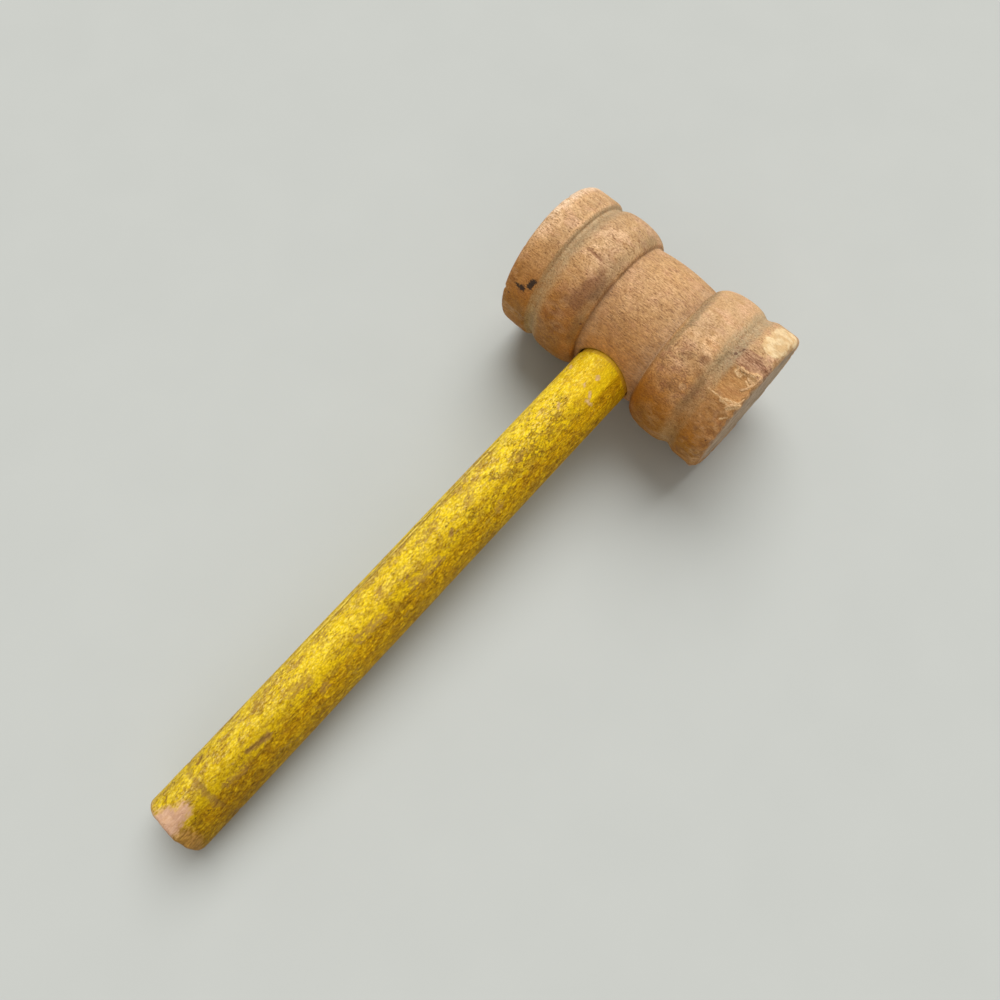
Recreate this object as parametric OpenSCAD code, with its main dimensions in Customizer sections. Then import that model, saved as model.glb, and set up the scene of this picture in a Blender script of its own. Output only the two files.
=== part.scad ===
// Small wooden mallet of a child's pounding toy, lying on its side.
// The head is one spindle-turned piece: two wide end bands, two beads and a
// barrel waist between them. A painted dowel handle is glued into a blind
// hole drilled across the waist.
//
// Frame: +X along the head, +Y from the butt of the handle towards the head,
// +Z up. The floor is Z = 0 and the origin is under the middle of the box.

/* [Head] */
// Length of the head from one striking face to the other
head_len = 72; // [70:0.5:80]
// Diameter of the two end bands
band_d = 44.3; // [43.5:0.1:46]
// Largest diameter of the two beads
bead_d = 45; // [44.5:0.1:47]
// Diameter of the waist at its middle
waist_d = 39.2; // [38.6:0.1:41]
// Diameter at the foot of a bead, where it meets the waist
crease_d = 37.8; // [36.5:0.1:38.4]
// Diameter at the bottom of the groove between bead and band
groove_d = 41.2; // [40.6:0.1:42.4]
// Length of the waist between the two beads
waist_len = 20.4; // [19.4:0.1:21]
// Width of one bead
bead_w = 14.7; // [14:0.1:15]
// Where the crown of the bead lies across its width, from the waist
crown_at = 0.62; // [0.55:0.01:0.66]
// Radius of the round cove at the foot of the end band
cove_r = 1.2; // [0.9:0.1:1.2]
// Rounding of the rim of the striking face
rim_r = 1.6; // [0.8:0.1:2.4]

/* [Handle] */
// Diameter of the dowel
handle_d = 17.5; // [16:0.1:18.4]
// Distance from the axis of the head to the butt of the handle
handle_reach = 179.6; // [150:0.2:190]
// Rounding of the edge of the butt
butt_r = 1.3; // [0.5:0.1:2.5]
// Bevel at the inner end of the dowel
tenon_bevel = 0.8; // [0.4:0.1:1.2]
// Distance from the butt to the middle of the shallow ring worn into the dowel
ring_at = 13.3; // [10:0.1:20]
// Width of the worn ring
ring_w = 1.2; // [0.8:0.1:2.5]
// Depth of the worn ring
ring_depth = 0.2; // [0.18:0.01:0.4]

/* [Joint] */
// Gap all round the dowel in its hole, filled with glue
glue_gap = 0.15; // [0.1:0.01:0.25]
// How far the hole runs past the axis of the head
hole_past = 10; // [6:0.5:12]
// Glue left under the inner end of the dowel
glue_floor = 0.4; // [0.2:0.1:0.8]
// How far the glue stops below the mouth of the hole
glue_recess = 1; // [0.6:0.1:2]

/* [Hidden] */
$fn = 128;
eps = 0.5;
head_r = max(bead_d, band_d) / 2;
waist_h = waist_len / 2;
bead_end = waist_h + bead_w;
crown = waist_h + bead_w * crown_at;
band_start = bead_end + 2;
handle_r = handle_d / 2;
hole_r = handle_r + glue_gap;

// An arc of this rise over this half span has this radius
function arc_r(run, rise) = (run * run + rise * rise) / (2 * rise);
waist_rise = (waist_d - crease_d) / 2;
waist_arc = arc_r(waist_h, waist_rise);
inner_rise = (bead_d - crease_d) / 2;
inner_arc = arc_r(crown - waist_h, inner_rise);
outer_rise = (bead_d - groove_d) / 2;
outer_arc = arc_r(bead_end - crown, outer_rise);

// The mouth of the hole lies on the round waist: its nearest edge to the axis
mouth = sqrt(pow(crease_d / 2, 2) - pow(hole_r, 2));
glue_end = mouth - glue_recess;

// The mallet rests on its two beads and on the edge of the butt
tilt_run = handle_reach - butt_r;
tilt_in = handle_r - butt_r;
tilt = asin((head_r - butt_r) / sqrt(pow(tilt_run, 2) + pow(tilt_in, 2))) - atan2(tilt_in, tilt_run);
y_low = -(tilt_run * cos(tilt) + tilt_in * sin(tilt) + butt_r);
shift_y = -(head_r + y_low) / 2;

// From the making position, head along X and handle along -Y, to the floor
module at_rest() {
    translate([0, shift_y, head_r]) rotate([tilt, 0, 0]) children();
}

// A strip of the section between two stations along the axis
module strip(a, b, r) {
    translate([0, a]) square([r, b - a]);
}

// Half of a bead, an arc crowned at the station c
module bead_half(a, b, c, radius) {
    intersection() {
        translate([bead_d / 2 - radius, c]) circle(r = radius);
        strip(a, b, head_r + 1);
    }
}

// Half section of one end: x is the radius, y runs along the axis. Each arc
// runs on a little under its neighbour, so that the two cross in a clean line.
module end_section() {
    bead_half(waist_h - eps, crown, crown, inner_arc);
    bead_half(crown, bead_end + eps, crown, outer_arc);
    // floor of the groove, and its cove against the band
    strip(crown, band_start, groove_d / 2);
    difference() {
        strip(band_start - cove_r, band_start + eps, groove_d / 2 + cove_r);
        translate([groove_d / 2 + cove_r, band_start - cove_r]) circle(r = cove_r);
    }
    // end band with its rounded rim
    strip(band_start, head_len / 2 - rim_r, band_d / 2);
    strip(band_start, head_len / 2, band_d / 2 - rim_r);
    translate([band_d / 2 - rim_r, head_len / 2 - rim_r]) circle(r = rim_r);
}

// Half section of the barrel waist
module waist_section() {
    intersection() {
        translate([waist_d / 2 - waist_arc, 0]) circle(r = waist_arc);
        strip(-waist_h - eps, waist_h + eps, head_r);
    }
}

module head_blank() {
    rotate([0, 90, 0]) rotate_extrude() {
        end_section();
        mirror([0, 1]) end_section();
        waist_section();
        // solid core behind the arcs
        strip(-band_start - eps, band_start + eps, crease_d / 2 - 1);
    }
}

// Blind hole across the waist, open towards the butt
module handle_hole(to) {
    translate([0, hole_past, 0]) rotate([90, 0, 0]) cylinder(r = hole_r, h = hole_past + to);
}

module dowel() {
    tenon_end = hole_past - glue_floor;
    translate([0, tenon_end, 0]) rotate([90, 0, 0]) rotate_extrude() difference() {
        union() {
            square([handle_r, handle_reach + tenon_end - butt_r]);
            square([handle_r - butt_r, handle_reach + tenon_end]);
            translate([handle_r - butt_r, handle_reach + tenon_end - butt_r]) circle(r = butt_r);
        }
        polygon([[handle_r - tenon_bevel, 0], [handle_r + 1, -1], [handle_r, tenon_bevel]]);
        translate([handle_r - ring_depth, handle_reach + tenon_end - ring_at - ring_w / 2]) square([1, ring_w]);
    }
}

module head() {
    color([0.78, 0.58, 0.40]) at_rest() difference() {
        head_blank();
        handle_hole(head_r);
    }
}

module handle() {
    color([0.87, 0.72, 0.10]) at_rest() dowel();
}

// Cured glue: a thin cup between the dowel and the wall of its hole
module glue() {
    color([0.84, 0.76, 0.58]) at_rest() difference() {
        handle_hole(glue_end);
        dowel();
    }
}

head();
handle();
glue();
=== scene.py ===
import math

import bmesh
import bpy
import numpy as np
from mathutils import Matrix, Vector


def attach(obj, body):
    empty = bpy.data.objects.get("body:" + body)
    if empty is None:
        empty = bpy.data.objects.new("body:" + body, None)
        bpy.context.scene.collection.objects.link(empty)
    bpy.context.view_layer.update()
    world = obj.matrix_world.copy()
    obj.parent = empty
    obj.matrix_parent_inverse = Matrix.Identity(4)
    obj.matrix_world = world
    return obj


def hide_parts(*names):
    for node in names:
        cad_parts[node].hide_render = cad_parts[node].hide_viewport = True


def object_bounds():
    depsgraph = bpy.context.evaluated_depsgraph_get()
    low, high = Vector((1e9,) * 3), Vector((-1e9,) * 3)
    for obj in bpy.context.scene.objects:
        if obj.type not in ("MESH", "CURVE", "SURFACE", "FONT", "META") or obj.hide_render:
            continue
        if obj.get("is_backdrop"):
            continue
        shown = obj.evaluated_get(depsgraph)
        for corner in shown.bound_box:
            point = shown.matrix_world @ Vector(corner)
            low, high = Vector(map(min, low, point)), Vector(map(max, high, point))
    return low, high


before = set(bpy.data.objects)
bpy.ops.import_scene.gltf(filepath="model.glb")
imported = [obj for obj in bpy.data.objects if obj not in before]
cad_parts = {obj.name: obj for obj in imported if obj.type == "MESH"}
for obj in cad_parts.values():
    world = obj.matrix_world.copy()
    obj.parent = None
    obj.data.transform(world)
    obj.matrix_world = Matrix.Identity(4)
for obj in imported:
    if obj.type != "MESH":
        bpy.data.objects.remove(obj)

CAD_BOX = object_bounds()

# ---------------------------------------------------------------- the frame
# Pieces are shaped in millimetres in the mallet's own making position (head
# along x, handle along -y, up z) and laid down on the floor by place().
TILT = math.radians(4.430056)
SHIFT_Y = 78.57138
HEAD_Z = 22.5
HANDLE_R = 8.75
HOLE_R = 8.9
REACH = 179.6
TENON = 9.6


def place(p):
    """Making position in mm to the row's frame in metres."""
    p = np.asarray(p, float)
    c, s = math.cos(TILT), math.sin(TILT)
    out = np.empty_like(p)
    out[:, 0] = p[:, 0]
    out[:, 1] = p[:, 1] * c - p[:, 2] * s + SHIFT_Y
    out[:, 2] = p[:, 1] * s + p[:, 2] * c + HEAD_Z
    return out * 0.001


def unplace(p):
    """The row's frame in metres back to the making position in mm."""
    q = np.asarray(p, float) * 1000.0 - np.array([0, SHIFT_Y, HEAD_Z])
    c, s = math.cos(TILT), math.sin(TILT)
    return np.stack([q[:, 0], q[:, 1] * c + q[:, 2] * s, -q[:, 1] * s + q[:, 2] * c], 1)


# ---------------------------------------------------------------- noise
def _hash(i, j, k, seed):
    m = np.int64(0xFFFFFFFF)
    h = (i * 73856093) ^ (j * 19349663) ^ (k * 83492791) ^ np.int64(seed * 40503 + 17)
    h = h & m
    h = (((h >> 16) ^ h) * 73244475) & m
    h = (((h >> 16) ^ h) * 73244475) & m
    return (h >> 16) ^ h


def noise3(p, seed=0):
    """Gradient noise of the points p, about -1 to 1."""
    base = np.floor(p).astype(np.int64)
    f = p - base
    u = f * f * f * (f * (f * 6 - 15) + 10)
    out = np.zeros(len(p))
    for cx in (0, 1):
        for cy in (0, 1):
            for cz in (0, 1):
                h = _hash(base[:, 0] + cx, base[:, 1] + cy, base[:, 2] + cz, seed)
                a = (h & 1023) * (2 * math.pi / 1024)
                z = ((h >> 10) & 1023) / 511.5 - 1
                q = np.sqrt(np.maximum(0, 1 - z * z))
                d = f - np.array([cx, cy, cz])
                w = (
                    (u[:, 0] if cx else 1 - u[:, 0])
                    * (u[:, 1] if cy else 1 - u[:, 1])
                    * (u[:, 2] if cz else 1 - u[:, 2])
                )
                out += w * (q * np.cos(a) * d[:, 0] + q * np.sin(a) * d[:, 1] + z * d[:, 2])
    return out * 1.7


def fbm(p, octaves=3, seed=0, gain=0.5):
    out, amp, total = 0.0, 1.0, 0.0
    for o in range(octaves):
        out = out + amp * noise3(p * (2.03**o) + 11.7 * o, seed + 31 * o)
        total += amp
        amp *= gain
    return out / total


def smooth(e0, e1, v):
    t = np.clip((v - e0) / (e1 - e0), 0, 1)
    return t * t * (3 - 2 * t)


def wrap(d):
    return (d + 180.0) % 360.0 - 180.0


# ---------------------------------------------------------------- meshes
def lathe(name, rings, cap_a, cap_b, attributes):
    """A closed mesh from an array of rings (n, m, 3) with one pole at each end."""
    n, m, _ = rings.shape
    verts = np.concatenate([rings.reshape(-1, 3), [cap_a], [cap_b]])
    i = np.arange(n - 1)[:, None] * m
    j = np.arange(m)[None, :]
    k = (j + 1) % m
    quads = np.stack([i + j, i + k, i + m + k, i + m + j], -1).reshape(-1, 4)
    fan_a = np.stack([np.full(m, n * m), (np.arange(m) + 1) % m, np.arange(m)], -1)
    last = (n - 1) * m
    fan_b = np.stack([np.full(m, n * m + 1), last + np.arange(m), last + (np.arange(m) + 1) % m], -1)
    mesh = bpy.data.meshes.new(name)
    faces = [tuple(map(int, q)) for q in quads]
    faces += [tuple(map(int, t)) for t in fan_a] + [tuple(map(int, t)) for t in fan_b]
    mesh.from_pydata([tuple(map(float, v)) for v in place(verts)], [], faces)
    for key, val in attributes.items():
        val = np.asarray(val, float)
        if val.ndim == 3:
            flat = np.concatenate([val.reshape(-1, 3), [val[0].mean(0)], [val[-1].mean(0)]])
            a = mesh.attributes.new(key, "FLOAT_VECTOR", "POINT")
            a.data.foreach_set("vector", flat.astype(np.float32).ravel())
        else:
            flat = np.concatenate([val.ravel(), [val[0].mean(), val[-1].mean()]])
            a = mesh.attributes.new(key, "FLOAT", "POINT")
            a.data.foreach_set("value", flat.astype(np.float32))
    mesh.validate()
    mesh.update()
    obj = bpy.data.objects.new(name, mesh)
    bpy.context.scene.collection.objects.link(obj)
    return obj


def sharpen(obj, degrees):
    mesh = obj.data
    mesh.polygons.foreach_set("use_smooth", [True] * len(mesh.polygons))
    mesh.set_sharp_from_angle(angle=math.radians(degrees))
    mesh.update()


# ---------------------------------------------------------------- the head
# One end of the turned profile: half length, crease, end of the bead, bead
# radius, groove floor, band radius near the groove and near the rim, radius
# at the crease, foot and top of the band's shoulder, rounding of the rim.
END_L = dict(H=35.95, xa=9.99, xd=24.70, rb=22.36, rg=20.62, re=22.08, rx=22.05, rc=18.97, xf=26.05, xs=27.75, soft=0.0, c=1.80)
END_R = dict(H=35.85, xa=10.40, xd=24.70, rb=22.42, rg=20.78, re=21.95, rx=22.02, rc=18.70, xf=25.30, xs=27.75, soft=1.0, c=1.95)
WAIST_R = 19.55


def half_profile(e, crown=0.61, power=2.12):
    pts = []
    for t in np.linspace(0, 1, 40):
        pts.append((e["xa"] * t, WAIST_R + (e["rc"] - WAIST_R) * t * t))
    xb = e["xa"] + (e["xd"] - e["xa"]) * crown
    for t in np.linspace(0, 1, 90)[1:]:
        u = 1 - t
        pts.append((e["xa"] + (xb - e["xa"]) * t, e["rc"] + (e["rb"] - e["rc"]) * (1 - u**power) ** (1 / power)))
    for t in np.linspace(0, 1, 70)[1:]:
        pts.append((xb + (e["xd"] - xb) * t, e["rg"] + (e["rb"] - e["rg"]) * (1 - t**power) ** (1 / power)))
    for t in np.linspace(0, 1, 24)[1:]:
        pts.append((e["xd"] + (e["xf"] - e["xd"]) * t, e["rg"] - 0.06 * math.sin(math.pi * t)))
    for t in np.linspace(0, 1, 48)[1:]:
        sharp = math.sin(math.pi / 2 * t) ** 0.72
        q = sharp * (1 - e["soft"]) + e["soft"] * float(smooth(-0.05, 1.0, t))
        pts.append((e["xf"] + (e["xs"] - e["xf"]) * t, e["rg"] + (e["re"] - e["rg"]) * q))
    x0 = e["xs"]
    for t in np.linspace(0, 1, 40)[1:]:
        pts.append((x0 + (e["H"] - e["c"] - x0) * t, e["re"] + (e["rx"] - e["re"]) * t))
    for a in np.linspace(0, math.pi / 2, 24)[1:]:
        pts.append((e["H"] - e["c"] + e["c"] * math.sin(a), e["rx"] - e["c"] + e["c"] * math.cos(a)))
    for t in np.linspace(0, 1, 90)[1:]:
        r = (e["rx"] - e["c"]) * (1 - t)
        pts.append((e["H"] + 0.12 * (1 - (r / 21.0) ** 2) - 0.12, r))
    return np.array(pts)


def head_profile():
    right, left = half_profile(END_R), half_profile(END_L)
    line = np.concatenate([np.stack([-left[::-1, 0], left[::-1, 1]], 1), right[1:]])
    s = np.concatenate([[0], np.cumsum(np.hypot(*np.diff(line, axis=0).T))])
    u = np.arange(0, s[-1], 0.04)
    x, r = np.interp(u, s, line[:, 0]), np.interp(u, s, line[:, 1])
    # edges of the old wood are worn: blur the section over a quarter of a millimetre
    k = np.exp(-0.5 * (np.arange(-30, 31) * 0.04 / 0.24) ** 2)
    k /= k.sum()
    pad = lambda v, sign: np.concatenate([v[0] * (1 - sign) + sign * v[30:0:-1], v, v[-1] * (1 - sign) + sign * v[-2:-32:-1]])
    xs = np.convolve(pad(x, 1), k, "valid")
    rs = np.convolve(np.concatenate([-r[30:0:-1], r, -r[-2:-32:-1]]), k, "valid")
    # dust and wear have filled the groove of the right end almost to a smooth valley
    kw = np.exp(-0.5 * (np.arange(-80, 81) * 0.04 / 0.95) ** 2)
    kw /= kw.sum()
    valley = np.convolve(np.concatenate([r[80:0:-1], r, r[-2:-82:-1]]), kw, "valid")
    gate = smooth(21.6, 23.8, xs) * smooth(28.6, 27.4, xs) + 0.55 * smooth(-22.4, -23.6, xs) * smooth(-25.9, -25.2, xs)
    rs = rs + (valley - rs) * gate * (rs > 19.0)
    rs = np.maximum(rs, 0)
    # how close the rings lie, in mm, along the section
    gap = np.full(len(xs), 0.44)
    ax = np.abs(xs)
    gap = np.where(np.abs(ax - 10.2) < 1.5, 0.25, gap)
    gap = np.where((ax > 23.8) & (ax < 27.6), 0.30, gap)
    gap = np.where((xs <= -27.6) & (rs > 19.5), 0.33, gap)
    gap = np.where((xs >= 27.6) & (rs > 19.5), 0.235, gap)
    face = (ax > 35.2) & (rs < 19.5)
    gap = np.where(face, 0.45 + (19.5 - rs) * 0.055, gap)
    dens = np.concatenate([[0], np.cumsum(0.04 / gap)[:-1]])
    count = int(round(dens[-1]))
    at = np.interp(np.linspace(0, dens[-1], count), dens, u)
    keep = at[(at > 0.25) & (at < u[-1] - 0.25)]
    X, R = np.interp(keep, u, xs), np.interp(keep, u, rs)
    tx, tr = np.gradient(xs, u), np.gradient(rs, u)
    TX, TR = np.interp(keep, u, tx), np.interp(keep, u, tr)
    L = np.hypot(TX, TR) + 1e-9
    return X, R, -TR / L, TX / L


def spot(x, th, x0, t0, x1=None, t1=None, stretch=1.0):
    """Distance in mm on the skin of the head from a short line between two places."""
    a = np.radians(wrap(th - t0)) * 21.6
    if x1 is None:
        return np.hypot((x - x0) / stretch, a)
    dx, da = x1 - x0, math.radians(t1 - t0) * 21.6
    t = np.clip(((x - x0) * dx + a * da) / (dx * dx + da * da), 0, 1)
    return np.hypot(x - x0 - t * dx, a - t * da)


def build_head():
    X, R, NX, NR = head_profile()
    m = 352
    th = np.linspace(-180, 180, m, endpoint=False)
    x, t = np.meshgrid(X, th, indexing="ij")
    r = np.repeat(R[:, None], m, 1)
    nr = np.repeat(NR[:, None], m, 1)
    tr = np.radians(t)
    loc = np.stack([x, r * np.sin(tr), r * np.cos(tr)], -1)
    p = loc.reshape(-1, 3)
    sh = x.shape
    noise = lambda q, o, seed: fbm(q, o, seed).reshape(sh)
    ax = np.abs(x)
    side = smooth(17.0, 20.5, r)  # 1 on the turned side, 0 on the end faces
    d = np.zeros(sh)
    # slow unevenness, shrinkage across the grain, raised grain
    d += 0.11 * noise(p / 13.0, 3, 3)
    d += side * (0.07 * np.cos(np.radians(2 * (t - 25))) - 0.06)
    d += side * 0.034 * noise(p * np.array([0.16, 0.9, 0.9]), 3, 8)
    d += 0.030 * noise(p * np.array([0.6, 1.3, 1.3]), 2, 12)
    # scattered knocks and dents on every side
    rng = np.random.RandomState(7)
    pale = np.zeros(sh)
    for k in range(95):
        x0, t0 = rng.uniform(-34.5, 34.5), rng.uniform(-180, 180)
        if abs(x0) < 9 and abs(wrap(t0)) < 75:
            continue
        size = rng.uniform(0.45, 1.5)
        depth = rng.uniform(0.05, 0.18) * (1.3 if abs(x0) > 15 else 0.7)
        q = spot(x, t, x0, t0, stretch=rng.uniform(1.0, 2.2)) / size
        d -= depth * np.exp(-(q**2))
        pale += 0.30 * np.exp(-((q - 1.1) ** 2) * 3)
    # a short tool mark across the left bead and the small dent on the right one
    q = spot(x, t, -20.6, -7.0, -16.0, -8.0)
    d -= 0.24 * np.exp(-((q / 0.34) ** 2)) - 0.07 * np.exp(-(((q - 0.75) / 0.35) ** 2))
    scratch = np.exp(-((q / 0.40) ** 2))
    q = spot(x, t, 21.3, -40.5)
    d -= 0.26 * np.exp(-((q / 0.55) ** 2)) - 0.07 * np.exp(-(((q - 0.95) / 0.35) ** 2))
    pale += 0.8 * np.exp(-(((q - 0.55) / 0.35) ** 2))
    # the right rim is worn rounder on the side towards the hand
    worn_c = END_R["c"] + 1.15 * np.exp(-((wrap(t + 90) / 36) ** 2)) + 0.35 * np.exp(-((wrap(t - 120) / 50) ** 2))
    over = np.clip(x - (END_R["H"] - worn_c), 0, worn_c)
    allow = END_R["rx"] - worn_c + np.sqrt(np.maximum(0, worn_c**2 - over**2))
    d = np.minimum(d, np.where((x > 31) & (side > 0.3), (allow - r) * np.maximum(nr, 0.35) + 0.02, 5.0))
    # split facet on the right band: one flake lifted off along the grain
    fresh = np.zeros(sh)
    rag = 0.10 * noise(p * np.array([0.35, 1.5, 1.5]), 3, 21)
    cliff = -7.5 - 3.0 * smooth(29.5, 26.5, x) + 16 * rag
    depth = 0.55 + 0.35 * smooth(27.0, 34.5, x)
    flat = (21.95 - depth + 0.6 * rag) / np.maximum(0.5, np.cos(np.radians(wrap(t + 16.0)))) - r
    flake = smooth(25.9, 27.3, x + 8 * rag) * smooth(0.9, -0.9, t - cliff) * (np.abs(wrap(t + 21)) < 26) * side
    cut = np.where(flake > 0.001, flat * flake + (1 - flake) * 0.08, 5.0)
    fresh = np.maximum(fresh, np.clip(0.2 + (d - cut) * 5.0, 0, 1) * flake)
    d = np.minimum(d, cut)
    # scale-shaped bites along the worn rims
    bites = [
        (34.9, -2.0, 1.3, 0.60), (35.2, -33.0, 1.5, 0.70), (34.8, -41.5, 2.0, 0.85), (35.3, -48.0, 1.2, 0.60),
        (34.2, -55.0, 1.9, 0.75), (34.7, -64.5, 2.3, 0.85), (31.8, -59.0, 1.4, 0.30), (34.7, -77.0, 1.8, 0.65), (35.6, -15.0, 1.6, 0.55), (35.4, -23.5, 1.2, 0.50),
        (35.5, 10.0, 1.0, 0.30), (29.6, -6.5, 1.0, 0.30), (32.0, -4.5, 1.3, 0.34), (35.6, 33.0, 0.9, 0.25),
        (30.4, -44.0, 1.6, 0.30), (28.6, -52.0, 1.3, 0.22),
        (-35.3, -69.0, 1.25, 0.50), (-35.7, -31.0, 0.8, 0.22), (-35.5, 18.0, 1.0, 0.20),
    ]
    for k in range(24):
        t0 = rng.uniform(60, 275)
        bites.append((rng.choice([-1, 1]) * rng.uniform(34.4, 35.7), t0, rng.uniform(0.8, 2.1), rng.uniform(0.15, 0.55)))
    wob = 0.35 * noise(p / 0.9, 2, 33)
    for x0, t0, size, depth in bites:
        q = spot(x, t, x0, t0, stretch=1.25) / size + wob * 0.6
        b = -depth * (1 - q * q)
        hit = (q < 1) & (side > 0.2)
        bowl = np.where(hit, b + 0.05 * rag * 10, 5.0)
        fresh = np.maximum(fresh, np.where(hit, smooth(0.0, 0.35, 1 - q), 0) * 0.55)
        pale += 0.20 * np.exp(-(((q - 1.02) / 0.22) ** 2)) * (side > 0.2)
        d = np.minimum(d, np.where(hit, bowl, 5.0))
    # torn fibres lying at the ends of the flake
    torn = np.zeros(sh)
    for x0, t0, x1, t1, w, h in [
        (28.8, -8.2, 31.0, -9.6, 0.40, 0.28), (31.4, -9.2, 33.6, -6.2, 0.42, 0.32), (33.4, -5.0, 35.2, -4.0, 0.38, 0.25),
        (32.6, -12.5, 34.6, -14.5, 0.34, 0.25), (26.4, -31.0, 31.4, -30.2, 0.24, 0.14), (31.6, -29.6, 35.3, -27.4, 0.40, 0.28),
        (30.8, -32.0, 33.2, -31.4, 0.34, 0.20), (33.6, -42.6, 35.2, -39.0, 0.34, 0.16),
        (28.9, -11.0, 30.6, -12.4, 0.50, 0.20), (33.0, -8.4, 34.6, -9.4, 0.60, 0.22), (33.6, -33.6, 35.2, -30.0, 0.60, 0.22),
    ]:
        q = spot(x, t, x0, t0, x1, t1) / (1.3 * w) + 0.5 * wob
        ridge = np.exp(-(q**2))
        d += h * ridge * (0.75 + 0.5 * noise(p / 0.7, 2, 44))
        torn = np.maximum(torn, ridge)
    # rubbed, bruised streak above the flake
    q = spot(x, t, 27.2, 0.5, 35.0, 1.0)
    rub = smooth(4.0, 0.6, q + 1.5 * noise(p * np.array([0.22, 0.6, 0.6]), 3, 51)) * side
    d += rub * (0.10 * noise(p * np.array([0.6, 1.2, 1.2]), 3, 52) - 0.05)
    d = np.where(d > 4, 0, d)
    d = np.minimum(d, 0.05 + 0.26 * torn)
    # end faces: hammered end grain
    d += (1 - side) * (0.05 * noise(p / 1.3, 3, 61) - 0.05)
    # crushed lip of the handle hole, a little open on the side away from the flake
    lip = np.hypot(x, loc[..., 2])
    low = (loc[..., 1] < 0) & (r > 10)
    open_side = 0.5 + 0.5 * np.cos(np.arctan2(loc[..., 2], x) - math.radians(150))
    edge = np.exp(-(((lip - HOLE_R) / 0.45) ** 2)) * low
    d -= edge * (0.05 + 0.26 * open_side**2) + 0.25 * np.exp(-(((lip - HOLE_R) / 0.35) ** 2)) * low * open_side**14

    rings = np.stack([
        x + d * NX[:, None],
        (r + d * nr) * np.sin(tr),
        (r + d * nr) * np.cos(tr),
    ], -1)

    # fields that the wood's material reads
    n1 = noise(p / 3.0, 3, 71)
    n2 = noise(p * np.array([0.3, 0.45, 0.45]), 3, 75)
    n3 = noise(p / 0.9, 3, 77)
    left, right = x < 0, x > 0
    wl = ax + 0.35 * n1
    wr = ax + 0.75 * n1
    dust = np.where(left, smooth(27.2, 26.3, ax + 0.12 * n3) * smooth(21.2, 23.4, wl + 0.3 * n3) * (0.62 + 0.38 * smooth(22.6, 24.6, ax)), smooth(28.3, 26.6, wr) * smooth(21.9, 23.9, wr + 0.3 * n3) * (0.42 + 0.58 * smooth(-36.0, -4.0, t)))
    dust = np.maximum(dust, 0.35 * smooth(14.0, 11.0, wl) * smooth(10.2, 10.8, ax) * left)
    dust = np.clip(dust * side, 0, 1)
    upper = smooth(-25.0, -8.0, t) * smooth(50.0, 30.0, t)
    line = 0.55 * np.exp(-(((ax - 26.12 - 0.08 * n1) / 0.16) ** 2)) * left * (0.25 + 0.75 * upper)
    line = line + 0.85 * np.exp(-(((ax - 10.05) / 0.30) ** 2)) * left * (1 - 0.5 * smooth(18.0, 40.0, t))
    line = line * np.clip(0.75 + 0.9 * n1, 0, 1) * side
    # painted shadow in the gap at the open side of the handle hole's lip
    line = np.maximum(line, 0.8 * np.exp(-(((lip - HOLE_R) / 0.26) ** 4)) * low * open_side**14)
    # painted light: a pale strip on the left band's shoulder, which faces away from the lamp
    pale += 0.7 * np.exp(-(((ax - 26.9) / 0.55) ** 2)) * left * upper
    pale += 0.8 * np.exp(-(((ax - 10.42) / 0.20) ** 2)) * right * smooth(-14.0, -22.0, t) * smooth(-75.0, -60.0, t)
    olive = 0.95 * smooth(1.7, 0.5, spot(x, t, 10.8, 40.0, 12.4, -4.0) + 0.9 * n3 + 0.3 * n1) * right
    olive = np.maximum(olive, 0.75 * smooth(1.2, 0.3, spot(x, t, 12.4, -4.0, 11.4, -28.0) + 0.8 * n3))
    olive = np.maximum(olive, 0.65 * np.exp(-(((ax - 11.0) / 0.45) ** 2)) * right * smooth(-20.0, -30.0, t))
    olive = np.maximum(olive, 0.55 * smooth(2.2, 0.4, spot(x, t, -10.8, 26.0, -11.2, 44.0) + 0.8 * n3))
    olive = np.maximum(olive, 0.60 * smooth(2.6, 0.6, spot(x, t, -11.2, -50.0, -11.0, -72.0) + 1.2 * n3))
    olive = np.maximum(olive, 0.70 * smooth(0.9, 0.1, spot(x, t, 24.0, -13.0, 25.2, -3.0) + 0.9 * n3))
    olive = np.maximum(olive, 0.55 * smooth(1.8, 0.3, spot(x, t, 24.2, -30.0, 24.0, -60.0) + 0.9 * n3))
    olive = np.maximum(olive, 0.45 * smooth(2.4, 0.4, spot(x, t, -29.5, -72.0, -27.5, -86.0) + 1.2 * n3))
    olive = np.maximum(olive, 0.55 * np.exp(-(((ax - 11.0) / 0.9) ** 2)) * smooth(60.0, 90.0, np.abs(wrap(t))) * np.clip(0.6 + n1, 0, 1))
    olive = np.clip(olive * side, 0, 1)
    # worn crowns and rims
    crown = np.exp(-(((ax - 18.6) / 4.2) ** 2)) * side
    rim = np.exp(-(((ax - 34.6) / 1.3) ** 2)) * side
    worn = np.clip(0.20 * crown * (0.5 + 1.6 * n2) + 0.45 * rim * (0.45 + 1.3 * n2), 0, 1)
    q = spot(x, t, -18.4, 16.0, -18.6, -6.0)
    worn = np.maximum(worn, 0.80 * smooth(4.6, 1.0, q + 2.4 * n2) * side)
    q = spot(x, t, -33.6, 12.0, -33.2, -16.0)
    worn = np.maximum(worn, 0.70 * smooth(3.0, 0.8, q + 1.8 * n2) * side)
    q = spot(x, t, 14.2, 6.0, 15.4, -5.0)
    worn = np.maximum(worn, 0.75 * smooth(3.8, 1.2, q + 2.0 * n2) * side)
    q = spot(x, t, 19.0, -4.0, 20.8, -9.5)
    worn = np.maximum(worn, 0.95 * smooth(3.0, 1.0, q + 1.4 * n2) * side)
    q = spot(x, t, 32.2, 20.0, 32.8, 44.0)
    cream = smooth(4.2, 2.2, q + 1.3 * n2 + 0.5 * n3) * side * smooth(27.5, 29.0, x)
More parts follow.
